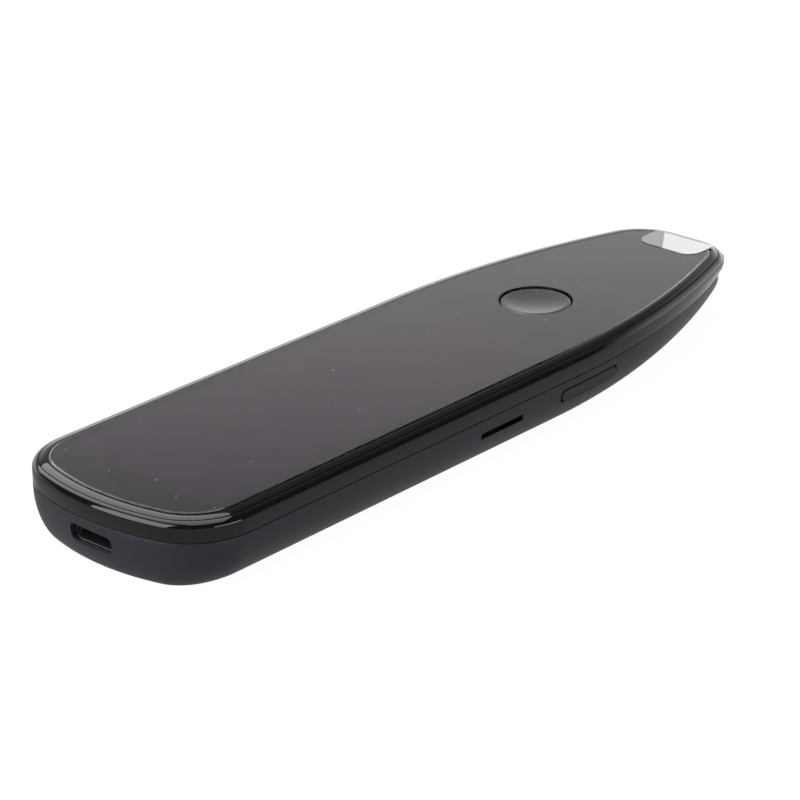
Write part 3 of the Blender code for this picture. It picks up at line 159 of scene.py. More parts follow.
def grid_faces(rows, columns, closed):
    """Corner numbers of a grid's faces; where it is closed, the last column joins the first."""
    row, column = np.meshgrid(np.arange(rows - 1), np.arange(columns if closed else columns - 1), indexing="ij")
    after = (column + 1) % columns
    corners = (row * columns + column, row * columns + after, (row + 1) * columns + after,
               (row + 1) * columns + column)
    return np.stack(corners, -1).reshape(-1, len(corners))


def smooth(mesh):
    """Smooth shading, but for the edges that are sharper than the limit."""
    mesh.shade_smooth()
    mesh.set_sharp_from_angle(angle=SHARP)


def piece(name, grids, finish=None):
    """A closed object out of grids of points, each given with whether it is closed round its columns."""
    points, faces, start = [], [], 0
    for grid, closed in grids:
        rows, columns = grid.shape[:2]
        points.append(grid.reshape(-1, 3))
        faces.append(grid_faces(rows, columns, closed) + start)
        start += rows * columns
    mesh = bpy.data.meshes.new(name)
    mesh.from_pydata(np.concatenate(points).tolist(), [], np.concatenate(faces).tolist())
    work = bmesh.new()
    work.from_mesh(mesh)
    bmesh.ops.remove_doubles(work, verts=work.verts, dist=WELD)
    bmesh.ops.recalc_face_normals(work, faces=work.faces)
    work.to_mesh(mesh)
    work.free()
    smooth(mesh)
    if finish:
        mesh.materials.append(finish)
    made = bpy.data.objects.new(name, mesh)
    bpy.context.scene.collection.objects.link(made)
    return made


def carve(made, tools):
    """Take tools out of a piece, and keep the outcome as its own mesh."""
    for tool in tools:
        change = made.modifiers.new(tool.name, "BOOLEAN")
        change.operation, change.solver, change.object = "DIFFERENCE", "EXACT", tool
    seen = bpy.context.evaluated_depsgraph_get()
    mesh = bpy.data.meshes.new_from_object(made.evaluated_get(seen))
    made.modifiers.clear()
    made.data = mesh
    smooth(mesh)
    for tool in tools:
        bpy.data.objects.remove(tool, do_unlink=True)
    print(made.name, len(mesh.polygons), "faces after", len(tools), "cuts")
    return made


def stand_for(made, node, body):
    """The piece stands for one measured node and moves with its body."""
    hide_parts(node)
    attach(made, body)


# %% [markdown]
# ## Outline of the casing
# Seen from above, the pen is one line of tangent arcs: a shallow bow at the tail, a round corner, a straight
# side, a long slow taper and a tight round nose. All pieces of the casing and the glass are this line drawn in
# by some inset, so it is computed once, with the outward direction at each point.

# %% The outline as arrays
LENGTH, WIDTH, HEAD_REACH = 0.1584, 0.0446, 0.0030
TAIL_BOW, TAIL_CORNER = 0.0490, 0.0125
TAPER, NOSE_CORNER, NOSE_FLAT = 0.0623, 0.01055, 0.0064
BOW_STEPS, CORNER_STEPS, SIDE_STEPS, TAPER_STEPS, NOSE_STEPS = 18, 30, 24, 90, 36
quarter = math.pi / 2
tail_x = -(LENGTH + HEAD_REACH) / 2
nose_x = tail_x + LENGTH
half_width = WIDTH / 2
taper_x = nose_x - TAPER
taper_bow = ((TAPER - NOSE_CORNER) ** 2 + (half_width - NOSE_FLAT / 2) ** 2 - NOSE_CORNER ** 2) / (
    2 * (half_width - NOSE_FLAT / 2 - NOSE_CORNER))


def arc(centre_x, centre_y, radius, start, end, count):
    """An arc: centre plus radius times (-cos, sin) of the angle, and that direction itself."""
    angle = np.linspace(start, end, count)
    way = np.stack([-np.cos(angle), np.sin(angle)], -1)
    return np.array([centre_x, centre_y]) + radius * way, way


def outline():
    """Points and outward directions from the tail's middle round the +Y side to the nose, and back along -Y."""
    bow_x = tail_x + TAIL_BOW
    corner_y = half_width - TAIL_CORNER
    turn = math.asin(corner_y / (TAIL_BOW - TAIL_CORNER))
    corner_x = bow_x - (TAIL_BOW - TAIL_CORNER) * math.cos(turn)
    lean = math.asin((nose_x - NOSE_CORNER - taper_x) / (taper_bow - NOSE_CORNER))
    side = np.linspace(corner_x, taper_x, SIDE_STEPS)
    parts = [
        arc(bow_x, 0, TAIL_BOW, 0, turn, BOW_STEPS),
        arc(corner_x, corner_y, TAIL_CORNER, turn, quarter, CORNER_STEPS),
        (np.stack([side, np.full(SIDE_STEPS, half_width)], -1), np.tile([0.0, 1.0], (SIDE_STEPS, 1))),
        arc(taper_x, half_width - taper_bow, taper_bow, quarter, quarter + lean, TAPER_STEPS),
        arc(nose_x - NOSE_CORNER, NOSE_FLAT / 2, NOSE_CORNER, quarter + lean, math.pi, NOSE_STEPS)]
    points, ways = (np.concatenate([parts[0][i][:1], *(part[i][1:] for part in parts)]) for i in (0, 1))
    mirror = np.array([1.0, -1.0])
    return np.concatenate([points, points[:0:-1] * mirror]), np.concatenate([ways, ways[:0:-1] * mirror])


edge_points, edge_ways = outline()
half_count = (len(edge_points) + 1) // 2

# %% [markdown]
# ## Heights
# The stack from the film down to the board is written once, as in a section drawing: film, glass, tape, ledge
# of the frame, plate and board. The casing's parting line lies 4 mm under the film. The glass's upper face is
# drawn right under the film, and the gaps that can be seen are narrow, as on the real casing. The ledge and
# all that is under it keep the measured model's heights.

# %% Heights and gaps of the stack
BODY_HEIGHT, FILM_THICKNESS, GLASS_THICKNESS, TAPE_THICKNESS, LEDGE_THICKNESS = (
    0.0131, 0.0002, 0.0009, 0.0003, 0.0013)
PLATE_THICKNESS, PLATE_BOARD_GAP, BOARD_THICKNESS, PARTING_DROP = 0.0006, 0.00065, 0.0008, 0.0040
THIN_GAP, SEAT_GAP, SLIDE_GAP, VISIBLE_GAP, CONTACT_GAP = 0.00015, 0.0003, 0.0004, 0.00012, 0.00002
film_foot = BODY_HEIGHT - FILM_THICKNESS
glass_top = film_foot - CONTACT_GAP
glass_foot = glass_top - GLASS_THICKNESS
ledge_top = film_foot - THIN_GAP - GLASS_THICKNESS - THIN_GAP - TAPE_THICKNESS - THIN_GAP
ledge_foot = ledge_top - LEDGE_THICKNESS
under_board = ledge_foot - SEAT_GAP - PLATE_THICKNESS - PLATE_BOARD_GAP - BOARD_THICKNESS - SEAT_GAP
parting = BODY_HEIGHT - PARTING_DROP
FRAME_DROP, FRAME_EDGE, FRAME_EDGE_HEIGHT = 0.00055, 0.0011, 0.0012
frame_top = BODY_HEIGHT - FRAME_DROP
widest = frame_top - FRAME_EDGE_HEIGHT

# %% [markdown]
# Three ways to use the line: a profile carried along it, a loop closed from side to side with straight strips,
# and the distance of the side wall from the middle line, for what sits in that wall. Near the nose the wall
# leans in below the frame's widest, as a ship's bow does, so every profile leans with it.

# %% Profiles carried along the outline
LIFT_LENGTH, NOSE_RAKE, RAKE_POWER = 0.0660, 0.0013, 4


def rise_share(x):
    """Share of the lifted front that lies behind x: 0 where the underside leaves the table, 1 at the nose."""
    return np.maximum(x - (nose_x - LIFT_LENGTH), 0) / LIFT_LENGTH


def rake(x, height):
    """Lean of the wall: a power of the share of the way to the nose, growing from the widest to the parting."""
    depth = np.clip((widest - height) / (widest - parting), 0, 1)
    return NOSE_RAKE * rise_share(x) ** RAKE_POWER * depth


def carry(insets, heights):
    """A profile of insets and heights carried round: point = outline - way * (inset + rake), at the height."""
    insets = np.asarray(insets, float)[:, None]
    heights = np.asarray(heights, float)
    total = insets + rake(edge_points[None, :, 0], heights[:, None])
    flat = edge_points[None] - edge_ways[None] * total[..., None]
    return np.concatenate([flat, np.broadcast_to(heights[:, None, None], flat.shape[:2] + (1,))], -1)


def across(ring):
    """Straight strips between the two mirrored halves of a loop."""
    other = ring[-np.arange(half_count) % len(ring)]
    return np.stack([ring[:half_count], other], 1)


def side_y(x, inset=0.0):
    """Distance of the wall from the middle line: the taper's circle, drawn in by the inset."""
    run = np.maximum(np.asarray(x, float) - taper_x, 0)
    return half_width - taper_bow + np.sqrt((taper_bow - inset) ** 2 - run ** 2)


def rounding(count, width, height):
    """A quarter of an ellipse as insets and drops: inset = width (1 - cos), drop = height (1 - sin)."""
    angle = np.linspace(0, quarter, count)
    return width * (1 - np.cos(angle)), height * (1 - np.sin(angle))


def capsule(length, width, corner, count):
    """A rectangle with round corners about the origin: four quarter circles, joined by straight sides."""
    signs = np.array([[1, 1], [-1, 1], [-1, -1], [1, -1]])
    angle = (np.arange(len(signs))[:, None] * quarter + np.linspace(0, quarter, count)).ravel()
    middle = np.repeat(signs, count, axis=0) * (np.array([length, width]) / 2 - corner)
    return middle + corner * np.stack([np.cos(angle), np.sin(angle)], -1)


def circle(radius, count, x=0.0, y=0.0):
    """Points round a circle: x + radius * cos and y + radius * sin of equal steps of the whole turn."""
    angle = np.arange(count) * 2 * math.pi / count
    return np.stack([x + radius * np.cos(angle), y + radius * np.sin(angle)], -1)


def bar(name, plan, axis, start, end, finish=None):
    """A plan carried straight along X, Y or Z between two places, with a fan of faces at each end."""
    order = {"X": (2, 0, 1), "Y": (0, 2, 1), "Z": (0, 1, 2)}[axis]
    ends = np.array([start, end], float)[:, None, None]
    side = np.concatenate([np.broadcast_to(plan[None], (2,) + plan.shape),
                           np.broadcast_to(ends, (2, len(plan), 1))], -1)
    middle = np.broadcast_to(plan.mean(0), plan.shape)
    lids = [np.stack([np.concatenate([plan, np.full((len(plan), 1), z)], -1),
                      np.concatenate([middle, np.full((len(plan), 1), z)], -1)]) for z in (start, end)]
    return piece(name, [(grid[..., order], True) for grid in (side, *lids)], finish)


# %% [markdown]
# ## Scan head's passage
# The scan head slides in and out of the nose through an opening that the shell and the frame share. The same
# rounded bar cuts both, with a little room all round for the head to move. The head's width is counted outwards
# from the camera, over the cheek that holds it and the switch that the head's arm presses.

# %% The passage
HEAD_HEIGHT, HEAD_CORNER, HEAD_INSIDE, HEAD_LEDGE_GAP, HEAD_TRAVEL = 0.0036, 0.0008, 0.0101, 0.00045, 0.0006
CAMERA_WIDTH, CHEEK, SWITCH_CHEEK_GAP, SWITCH_WIDTH, ARM_WIDTH = 0.0074, 0.0010, 0.0013, 0.0030, 0.0012
PASSAGE_CORNER_STEPS, OVERRUN = 9, 0.0015
head_top = ledge_foot - HEAD_LEDGE_GAP
head_middle = head_top - HEAD_HEIGHT / 2
arm_y = CAMERA_WIDTH / 2 + SEAT_GAP + CHEEK + SWITCH_CHEEK_GAP + SWITCH_WIDTH / 2
head_width = 2 * (arm_y - ARM_WIDTH / 2 - SLIDE_GAP)
head_back_x = nose_x - HEAD_INSIDE


def passage(name):
    """The rounded bar of the scan head's section, wider by the visible gap, through the nose."""
    plan = capsule(head_width + 2 * VISIBLE_GAP, HEAD_HEIGHT + 2 * VISIBLE_GAP, HEAD_CORNER + VISIBLE_GAP,
                   PASSAGE_CORNER_STEPS)
    return bar(name, plan + np.array([0, head_middle]), "X", head_back_x - HEAD_TRAVEL, nose_x + OVERRUN)


BUTTON_FROM_NOSE, KEY_FROM_NOSE, SLOT_FROM_NOSE = 0.0466, 0.0583, 0.0824
button_x, key_x, slot_x = nose_x - BUTTON_FROM_NOSE, nose_x - KEY_FROM_NOSE, nose_x - SLOT_FROM_NOSE

# %% [markdown]
# ## Finish of the shell
# The shell is moulded in dark polycarbonate against a spark-eroded tool, which leaves a fine even grain. The
# eye sees no mirror image on it, only a soft sheen that grows where the surface turns away. The colour is a
# very dark grey with a trace of violet.

# %% Matte polycarbonate
matte_polycarbonate = grained("matte_polycarbonate_moulded", 0.00030, 0.0000035, "#1D1A25", "#211E29",
                              (0.36, 0.44), Roughness=0.40, IOR=1.50)

# %% [markdown]
# ## Shell
# The lower casing is a boat: its wall stands upright at the parting line and rounds into a flat underside,
# which lifts in a slow curve towards the nose. The section changes from place to place, so it is a function of
# the place on the outline and of an angle round the section, for the outside and again, a wall inwards, for
# the inside. Holes are cut afterwards, as the tool's cores would leave them.

# %% The shell's surface
WALL, LIP_THICKNESS = 0.0016, 0.0005
SIDE_ROUNDING, RISE_SHARE, TAIL_ROUNDING, LEAST_ROUNDING = 0.0061, 0.90, 0.0032, 0.0005
LIFT_POWER, HEAD_LIFT_GAP = 1.93, 0.0012
nose_lift = head_top - HEAD_HEIGHT - HEAD_LIFT_GAP


def lift(x):
    """How far the underside has left the table at x: a power of the share of the way to the nose."""
    return nose_lift * rise_share(x) ** LIFT_POWER


def section(angles, wall):
    """Rows of the shell's rounding: inset = rake + reach (1 - cos) and height = ground + rise (1 - sin).

    The reach runs from the side's to the tail's own value with the square of how far a place faces back.
    """
    facing = np.maximum(-edge_ways[:, 0], 0) ** 2
    ground = lift(edge_points[:, 0])
    reach = np.maximum(SIDE_ROUNDING + (TAIL_ROUNDING - SIDE_ROUNDING) * facing - wall, LEAST_ROUNDING)
    rise = np.maximum(RISE_SHARE * (parting - ground) - wall, LEAST_ROUNDING)
    angles = np.asarray(angles)[:, None]
    inset = wall + rake(edge_points[:, 0], parting) + reach * (1 - np.cos(angles))
    flat = edge_points[None] - edge_ways[None] * inset[..., None]
    return np.concatenate([flat, (ground + wall + rise * (1 - np.sin(angles)))[..., None]], -1)


EDGE_SOFTENING, SOFT_STEPS, INSIDE_STEPS, OUTSIDE_STEPS = 0.00008, 4, 10, 26
soft_in, soft_down = rounding(SOFT_STEPS, EDGE_SOFTENING, EDGE_SOFTENING)
shell_rim = parting - VISIBLE_GAP / 2
lip_top = ledge_foot - SEAT_GAP
inside = section(np.linspace(quarter, 0, INSIDE_STEPS), WALL)
rim = carry([WALL, WALL - LIP_THICKNESS, WALL - LIP_THICKNESS, *soft_in[::-1]],
            [lip_top, lip_top, shell_rim, *(shell_rim - soft_down[::-1])])
outside = section(np.linspace(0, quarter, OUTSIDE_STEPS), 0)
skin = np.concatenate([inside, rim, outside])
shell = piece("casing_shell", [(skin, True), (across(skin[0]), False), (across(skin[-1]), False)],
              matte_polycarbonate)

# %% [markdown]
# The holes: the charging port in the tail, the card slot and the key's opening in the near side, the scan
# head's passage, and two rows of sound holes underneath. The port, the card's socket and the key's switch are
# soldered under the board, so their holes' middles are counted down from it.

# %% Cut the port, the slot and the key's opening
PORT_LENGTH, PORT_HEIGHT, PORT_CORNER = 0.0095, 0.0033, 0.0013
PORT_FLAT_GAP, PORT_BOARD_GAP = 0.000175, 0.000075
SLOT_LENGTH, SLOT_WIDTH, SLOT_CORNER = 0.0112, 0.0012, 0.0001
SOCKET_THICKNESS, SOCKET_FLOOR, CARD_THICKNESS = 0.0018, 0.00025, 0.0008
KEY_LENGTH, KEY_WIDTH, KEY_SWITCH_THICKNESS = 0.0157, 0.0019, 0.0018
PORT_STEPS, SLOT_STEPS, KEY_HOLE_STEPS = 10, 3, 12
port_middle = under_board - PORT_BOARD_GAP - (PORT_HEIGHT - 2 * PORT_FLAT_GAP) / 2
card_middle = under_board - SOCKET_THICKNESS + SOCKET_FLOOR + CARD_THICKNESS / 2
key_middle = under_board - KEY_SWITCH_THICKNESS / 2
port_cutter = bar("port_cutter", capsule(PORT_LENGTH, PORT_HEIGHT, PORT_CORNER, PORT_STEPS)
                  + np.array([0, port_middle]), "X", tail_x - OVERRUN, tail_x + TAIL_ROUNDING + WALL)
slot_cutter = bar("slot_cutter", capsule(SLOT_LENGTH, SLOT_WIDTH, SLOT_CORNER, SLOT_STEPS)
                  + np.array([slot_x, card_middle]), "Y", -half_width - OVERRUN, -half_width + WALL + OVERRUN)
key_cutter = bar("key_cutter", capsule(KEY_LENGTH + 2 * SEAT_GAP, KEY_WIDTH + 2 * SEAT_GAP, KEY_WIDTH / 2,
                                       KEY_HOLE_STEPS) + np.array([key_x, key_middle]),
                 "Y", -side_y(key_x) - OVERRUN, -side_y(key_x) + WALL + OVERRUN)

# %% Cut the sound holes and the passage
SOUND_PITCH, SOUND_RADIUS, SOUND_STEPS, SOUND_COLUMNS, SOUND_ROWS = 0.0018, 0.0006, 20, 6, 2
SPEAKER_SHIFT = 0.0025
speaker_x = slot_x + SPEAKER_SHIFT
sound_cutters = [
    bar(f"sound_cutter_{column}_{row}", circle(
        SOUND_RADIUS, SOUND_STEPS, speaker_x + (column - (SOUND_COLUMNS - 1) / 2) * SOUND_PITCH,
        (row - (SOUND_ROWS - 1) / 2) * SOUND_PITCH), "Z", -OVERRUN, WALL + OVERRUN)
    for column in range(SOUND_COLUMNS) for row in range(SOUND_ROWS)]
carve(shell, [port_cutter, slot_cutter, key_cutter, passage("shell_passage"), *sound_cutters])
stand_for(shell, "bottom_shell", "casing")

# %% [markdown]
# ## Finish of the frame
# The frame is black ABS from a polished tool. It is a mirror for the table and the room: the eye sees thin
# bright and black bands along it, hardly any colour of its own. A slight waviness keeps the bands alive.

# %% Polished ABS
polished_abs = grained("black_abs_polished", 0.0050, 0.0000040, "#0B0B0C", "#0F0F10", (0.03, 0.05), 1.0,
                       Roughness=0.04, IOR=1.50)

# %% [markdown]
# ## Frame
# One hoop round the glass: a narrow upright band above the parting line, a rounded upper edge, and inside it
# the ledge that carries the glass. A profile carried round the outline gives it without any seam. The board's
# screws hold in the ledge, so it reaches past their heads, and their holes are drilled into it from below.

# %% The frame's hoop
SCREW_WALL_GAP, SCREW_HEAD_RADIUS, LEDGE_MARGIN, FRAME_EDGE_STEPS = 0.0008, 0.0010, 0.0012, 18
screw_inset = WALL + SCREW_WALL_GAP + SCREW_HEAD_RADIUS
ledge_inset = screw_inset + LEDGE_MARGIN
frame_foot = parting + VISIBLE_GAP / 2
skirt = WALL - LIP_THICKNESS - SEAT_GAP
edge_in, edge_down = rounding(FRAME_EDGE_STEPS, FRAME_EDGE, FRAME_EDGE_HEIGHT)
profile_in = [*soft_in[::-1], *edge_in, FRAME_EDGE, ledge_inset, ledge_inset, skirt, skirt]
profile_up = [*(frame_foot + soft_down[::-1]), *(frame_top - edge_down), ledge_top, ledge_top, ledge_foot,
              ledge_foot, frame_foot]
hoop = carry(profile_in, profile_up)
frame_piece = piece("gloss_frame", [(np.concatenate([hoop, hoop[:1]]), True)], polished_abs)

# %% Drill the frame and cut its passage
BATTERY_FROM_TAIL, SCREW_BATTERY_LEAD, SCREW_SLOT_LEAD = 0.0160, 0.0040, 0.0140
SCREW_HOLE_RADIUS, SCREW_BITE, SCREW_STEPS = 0.0008, 0.0008, 16
screw_x = (tail_x + BATTERY_FROM_TAIL + SCREW_BATTERY_LEAD, slot_x - SCREW_SLOT_LEAD, button_x)
drills = [
    bar(f"drill_{i}_{side}", circle(SCREW_HOLE_RADIUS, SCREW_STEPS, x, side * float(side_y(x, screw_inset))),
        "Z", ledge_foot - OVERRUN, ledge_foot + SCREW_BITE + SEAT_GAP)
    for i, x in enumerate(screw_x) for side in (-1, 1)]
carve(frame_piece, [passage("frame_passage"), *drills])
stand_for(frame_piece, "mid_frame", "casing")

# %% [markdown]
# ## Finish of the glass
# Tempered glass, printed black on its back, so no light comes through it. All that the eye sees is the light
# backdrop mirrored in it, and the screen's area below, which is a trace warmer than the black print. Two limits,
# one along the pen and one across it, tell the two apart.

# %% Black-backed glass and the screen's area
tempered_glass, tree, shader = new_finish("tempered_glass_printed_black", Roughness=0.02, IOR=1.50)
place = add(tree, "ShaderNodeTexCoord")
SCREEN_FROM_TAIL, SCREEN_FROM_BUTTON, SCREEN_HALF, SCREEN_BLUR = 0.0115, 0.0148, 0.0170, 0.0001
x_y_z = add(tree, "ShaderNodeSeparateXYZ", {"Vector": place.outputs["Object"]})
limits = []
for socket, low, high in (("X", tail_x + SCREEN_FROM_TAIL, button_x - SCREEN_FROM_BUTTON),
                          ("Y", -SCREEN_HALF, SCREEN_HALF)):
    middle, reach = (low + high) / 2, (high - low) / 2
    away = add(tree, "ShaderNodeMath", {0: x_y_z.outputs[socket], 1: middle}, operation="SUBTRACT")
    away = add(tree, "ShaderNodeMath", {0: away.outputs[0]}, operation="ABSOLUTE")
    limits.append(add(tree, "ShaderNodeMapRange", {
        "Value": away.outputs[0], "From Min": reach - SCREEN_BLUR, "From Max": reach + SCREEN_BLUR,
        "To Min": 1.0, "To Max": 0.0}).outputs["Result"])
screen_mask = add(tree, "ShaderNodeMath", {0: limits[0], 1: limits[1]}, operation="MULTIPLY")
mix = add(tree, "ShaderNodeMix", {
    "Factor": screen_mask.outputs[0], "A": linear("#08080A"), "B": linear("#32122E")}, data_type="RGBA")

# %% [markdown]
# Dust lies on it, one or two pale specks to the square centimetre, none wider than half a millimetre. Each cell
# of a Voronoi pattern has one point in it, and the cell's own random colour says how large the speck round that
# point is. The roughness changes a little in patches of 4 mm, as on glass that was wiped.

# %% Specks of dust
DUST_PITCH, DUST_SIZE, PATCH_SIZE = 0.0085, 0.00022, 0.0040
patches = add(tree, "ShaderNodeTexNoise", {
    "Vector": place.outputs["Object"], "Scale": 1 / PATCH_SIZE, "Detail": 3.0})
dust = add(tree, "ShaderNodeTexVoronoi", {
    "Vector": place.outputs["Object"], "Scale": 1 / DUST_PITCH}, voronoi_dimensions="2D")
red = add(tree, "ShaderNodeSeparateColor", {"Color": dust.outputs["Color"]})
speck = add(tree, "ShaderNodeMath", {0: red.outputs["Red"], 1: DUST_SIZE / DUST_PITCH}, operation="MULTIPLY")
in_speck = add(tree, "ShaderNodeMath", {
    0: speck.outputs[0], 1: dust.outputs["Distance"]}, operation="GREATER_THAN")
dusty = add(tree, "ShaderNodeMix", {
    "Factor": in_speck.outputs[0], "A": mix.outputs["Result"], "B": linear("#B0ABA6")}, data_type="RGBA")
tree.links.new(dusty.outputs["Result"], shader.inputs["Base Color"])
vary(tree, shader, "Roughness", patches, 0.015, 0.03)

# %% [markdown]
# ## Glass
# A flat plate of 0.9 mm whose upper edge falls off in a shallow parabola, with a round hole for the button. The
# flat faces are strips between the hole and the outline: each point of the outline looks towards the button's
# middle, and its partner on the hole lies in that direction, so the strips never cross.

# %% The glass and its hole
BUTTON_RADIUS, GLASS_EDGE_DROP, GLASS_EDGE_WIDTH, GLASS_EDGE_STEPS = 0.00645, 0.00024, 0.0014, 14
LIP_SOFTENING = 0.00006
hole_radius = BUTTON_RADIUS + SEAT_GAP
glass_inset = FRAME_EDGE + VISIBLE_GAP


def round_the_hole(ring, radius):
    """The ring's partner on the hole: the same direction from the button's middle, at the hole's radius."""
    away = ring[:, :2] - np.array([button_x, 0.0])
    away /= np.linalg.norm(away, axis=1, keepdims=True)
    return np.concatenate([np.array([button_x, 0.0]) + radius * away, ring[:, 2:]], -1)


def pierced(name, rows, radius, finish, softening=LIP_SOFTENING):
    """A flat piece with a round hole: its side rows, and strips from the first and the last row to the hole.

    The hole's upper lip is softened by a quarter circle.
    """
    soft_out, soft_drop = rounding(SOFT_STEPS, softening, softening)
    top, foot = rows[-1], rows[0]
    lip = [round_the_hole(top, radius + softening - inward) for inward in soft_out[::-1]]
    hole_rows = [row - np.array([0, 0, drop]) for row, drop in zip(lip, soft_drop[::-1])]
    skin = np.concatenate([rows, np.stack(hole_rows), round_the_hole(foot, radius)[None], foot[None]])
    return piece(name, [(skin, True)], finish)


share = np.linspace(0, 1, GLASS_EDGE_STEPS)
rows = carry([glass_inset, *(glass_inset + GLASS_EDGE_WIDTH * share)],
             [glass_foot, *(glass_top - GLASS_EDGE_DROP * (1 - share) ** 2)])
glass = pierced("front_glass", rows, hole_radius, tempered_glass)
stand_for(glass, "cover_glass", "casing")

# %% [markdown]
# ## Finish of the film
# A clear polyester film that is still on the glass. It adds a second, slightly softer mirror over the glass, so
# the covered part looks paler than the bare rim, and its cut edge draws a fine line, whose paleness is a painted
# highlight.

# %% Clear polyester film
clear_polyester, tree, shader = new_finish(
    "clear_polyester_film", Base_Color=linear("#F4F3F6"), Roughness=0.04, IOR=1.45, Transmission_Weight=1.0)
noise = grain(tree, shader, 0.0060, 0.0000020, 1.0)[1]
vary(tree, shader, "Roughness", noise, 0.03, 0.06)

# %% [markdown]
# ## Film
# The film is cut a little smaller than the glass, with a slanting edge. The edge is flatter than the limit of
# smooth shading, which would bend the light on the whole sheet, so one more row of points right behind the edge
# holds the sheet's shading flat.

# %% The film
FILM_INSET, FILM_HOLE_MARGIN, FILM_EDGE_WIDTH, FILM_EDGE_DROP = 0.00285, 0.00015, 0.00030, 0.00015
HOLDING_ROW, FILM_LIP_SOFTENING = 0.00004, 0.00003
rows = carry([FILM_INSET, FILM_INSET, FILM_INSET + FILM_EDGE_WIDTH, FILM_INSET + FILM_EDGE_WIDTH + HOLDING_ROW],
             [film_foot, BODY_HEIGHT - FILM_EDGE_DROP, BODY_HEIGHT, BODY_HEIGHT])
film = pierced("glass_film", rows, hole_radius + FILM_HOLE_MARGIN, clear_polyester, FILM_LIP_SOFTENING)

# %% [markdown]
# The knife leaves the film's edge a little rough. The pale line on it is a painted highlight: a pale diffuse
# colour is mixed in where the edge looks to the far side, to the rear left corner or to the nose, and none along
# the near side. Two shares say how pale: one grows with the way the edge looks, the other along the pen towards
# the nose.

# %% The film's cut edge and its painted highlight
cut_edge_painted_highlight, tree, shader = new_finish(
    "clear_polyester_cut_edge", Base_Color=linear("#F4F3F6"), Roughness=0.10, IOR=1.45, Transmission_Weight=1.0)
place = grain(tree, shader, 0.0006, 0.0000030, 1.0)[0]
surface = add(tree, "ShaderNodeNewGeometry")
FAR_SIDE, FAR_FROM, FAR_FULL, NOSE_FROM, NOSE_FULL = (-0.20, 0.98, 0.0), 0.05, 0.70, 0.010, 0.060
far = add(tree, "ShaderNodeVectorMath", {0: surface.outputs["Normal"], 1: FAR_SIDE}, operation="DOT_PRODUCT")
far_highlight_share = add(tree, "ShaderNodeMapRange", {
    "Value": far.outputs["Value"], "From Min": FAR_FROM, "From Max": FAR_FULL})
split = add(tree, "ShaderNodeSeparateXYZ", {"Vector": place.outputs["Object"]})
nose_highlight_share = add(tree, "ShaderNodeMapRange", {
    "Value": split.outputs["X"], "From Min": NOSE_FROM, "From Max": NOSE_FULL})
share = add(tree, "ShaderNodeMath", {
    0: far_highlight_share.outputs["Result"], 1: nose_highlight_share.outputs["Result"]}, operation="MAXIMUM")
# Painted highlight: a pale diffuse colour on the edge where it faces the far side or lies towards the nose.
pale = add(tree, "ShaderNodeBsdfDiffuse", {"Color": linear("#9C9896")})
highlight_blend = add(tree, "ShaderNodeMixShader", {0: share.outputs[0], 1: shader.outputs[0], 2: pale.outputs[0]})
tree.links.new(highlight_blend.outputs[0], tree.nodes["Material Output"].inputs["Surface"])

# %% [markdown]
# The edge's faces are found by their tilt and by their distance from the button's hole, whose rim gets no
# painted highlight, and get the second material.

# %% Give the edge's faces their finish
mesh = film.data
mesh.materials.append(cut_edge_painted_highlight)
normals, centres = np.empty((2, len(mesh.polygons), 3))
mesh.polygons.foreach_get("normal", normals.reshape(-1))
mesh.polygons.foreach_get("center", centres.reshape(-1))
tilt = normals[:, 2]
from_button = np.linalg.norm(centres[:, :2] - np.array([button_x, 0.0]), axis=1)
FOOT_TILT, FLAT_TILT, BUTTON_MARGIN = -0.5, 0.9995, 0.0020
on_edge = (tilt > FOOT_TILT) & (tilt < FLAT_TILT) & (from_button > hole_radius + BUTTON_MARGIN)
mesh.polygons.foreach_set("material_index", on_edge.astype(np.int32))
print(int(on_edge.sum()), "faces on the film's cut edge")
stand_for(film, "screen_film", "casing")

# %% [markdown]
# ## Pull tab
# The tab for peeling the film is white printed polyester. One corner, towards the tail, is left unprinted, and
# there the dark glass shows through as grey. A slanting border divides the two: the place on the tab, measured
# square to the border, says on which side of it a point lies.

# %% Printed polyester
BORDER_START, BORDER_END, BORDER_BLUR = np.array([0.06736, -0.0015]), np.array([0.07369, 0.00283]), 0.00005
printed_polyester, tree, shader = new_finish("white_printed_polyester", Roughness=0.38, IOR=1.50)
place = grain(tree, shader, 0.0030, 0.0000060, 1.0)[0]
border_way = (BORDER_END - BORDER_START) / np.linalg.norm(BORDER_END - BORDER_START)
border_normal = np.array([border_way[1], -border_way[0]])
border_place = float(border_normal @ BORDER_START)
distance = add(tree, "ShaderNodeVectorMath", {
    0: place.outputs["Object"], 1: (*border_normal, 0.0)}, operation="DOT_PRODUCT")
printed = add(tree, "ShaderNodeMapRange", {
    "Value": distance.outputs["Value"], "From Min": border_place - BORDER_BLUR,
    "From Max": border_place + BORDER_BLUR})
mix = add(tree, "ShaderNodeMix", {
    "Factor": printed.outputs["Result"], "A": linear("#9A999B"), "B": linear("#DEDFE1")}, data_type="RGBA")
tree.links.new(mix.outputs["Result"], shader.inputs["Base Color"])

# %% [markdown]
# The tab is a thin sheet, round at its two corners towards the tail and straight at the nose: a capsule, of
# which all that reaches past its end is drawn back to it.

# %% The tab
TAB_LENGTH, TAB_WIDTH, TAB_CORNER, TAB_THICKNESS, TAB_STEPS = 0.0070, 0.0135, 0.0030, 0.00010, 12
TAB_SETBACK, TAB_SHIFT = 0.0031, 0.0015
tab_end_x = nose_x - TAB_SETBACK
plan = capsule(TAB_LENGTH + TAB_CORNER, TAB_WIDTH, TAB_CORNER, TAB_STEPS)
plan += np.array([tab_end_x + TAB_CORNER - (TAB_LENGTH + TAB_CORNER) / 2, -TAB_SHIFT])
plan[:, 0] = np.minimum(plan[:, 0], tab_end_x)
tab_foot = BODY_HEIGHT + CONTACT_GAP
tab = bar("pull_tab", plan, "Z", tab_foot, tab_foot + TAB_THICKNESS, printed_polyester)
stand_for(tab, "film_pull_tab", "casing")

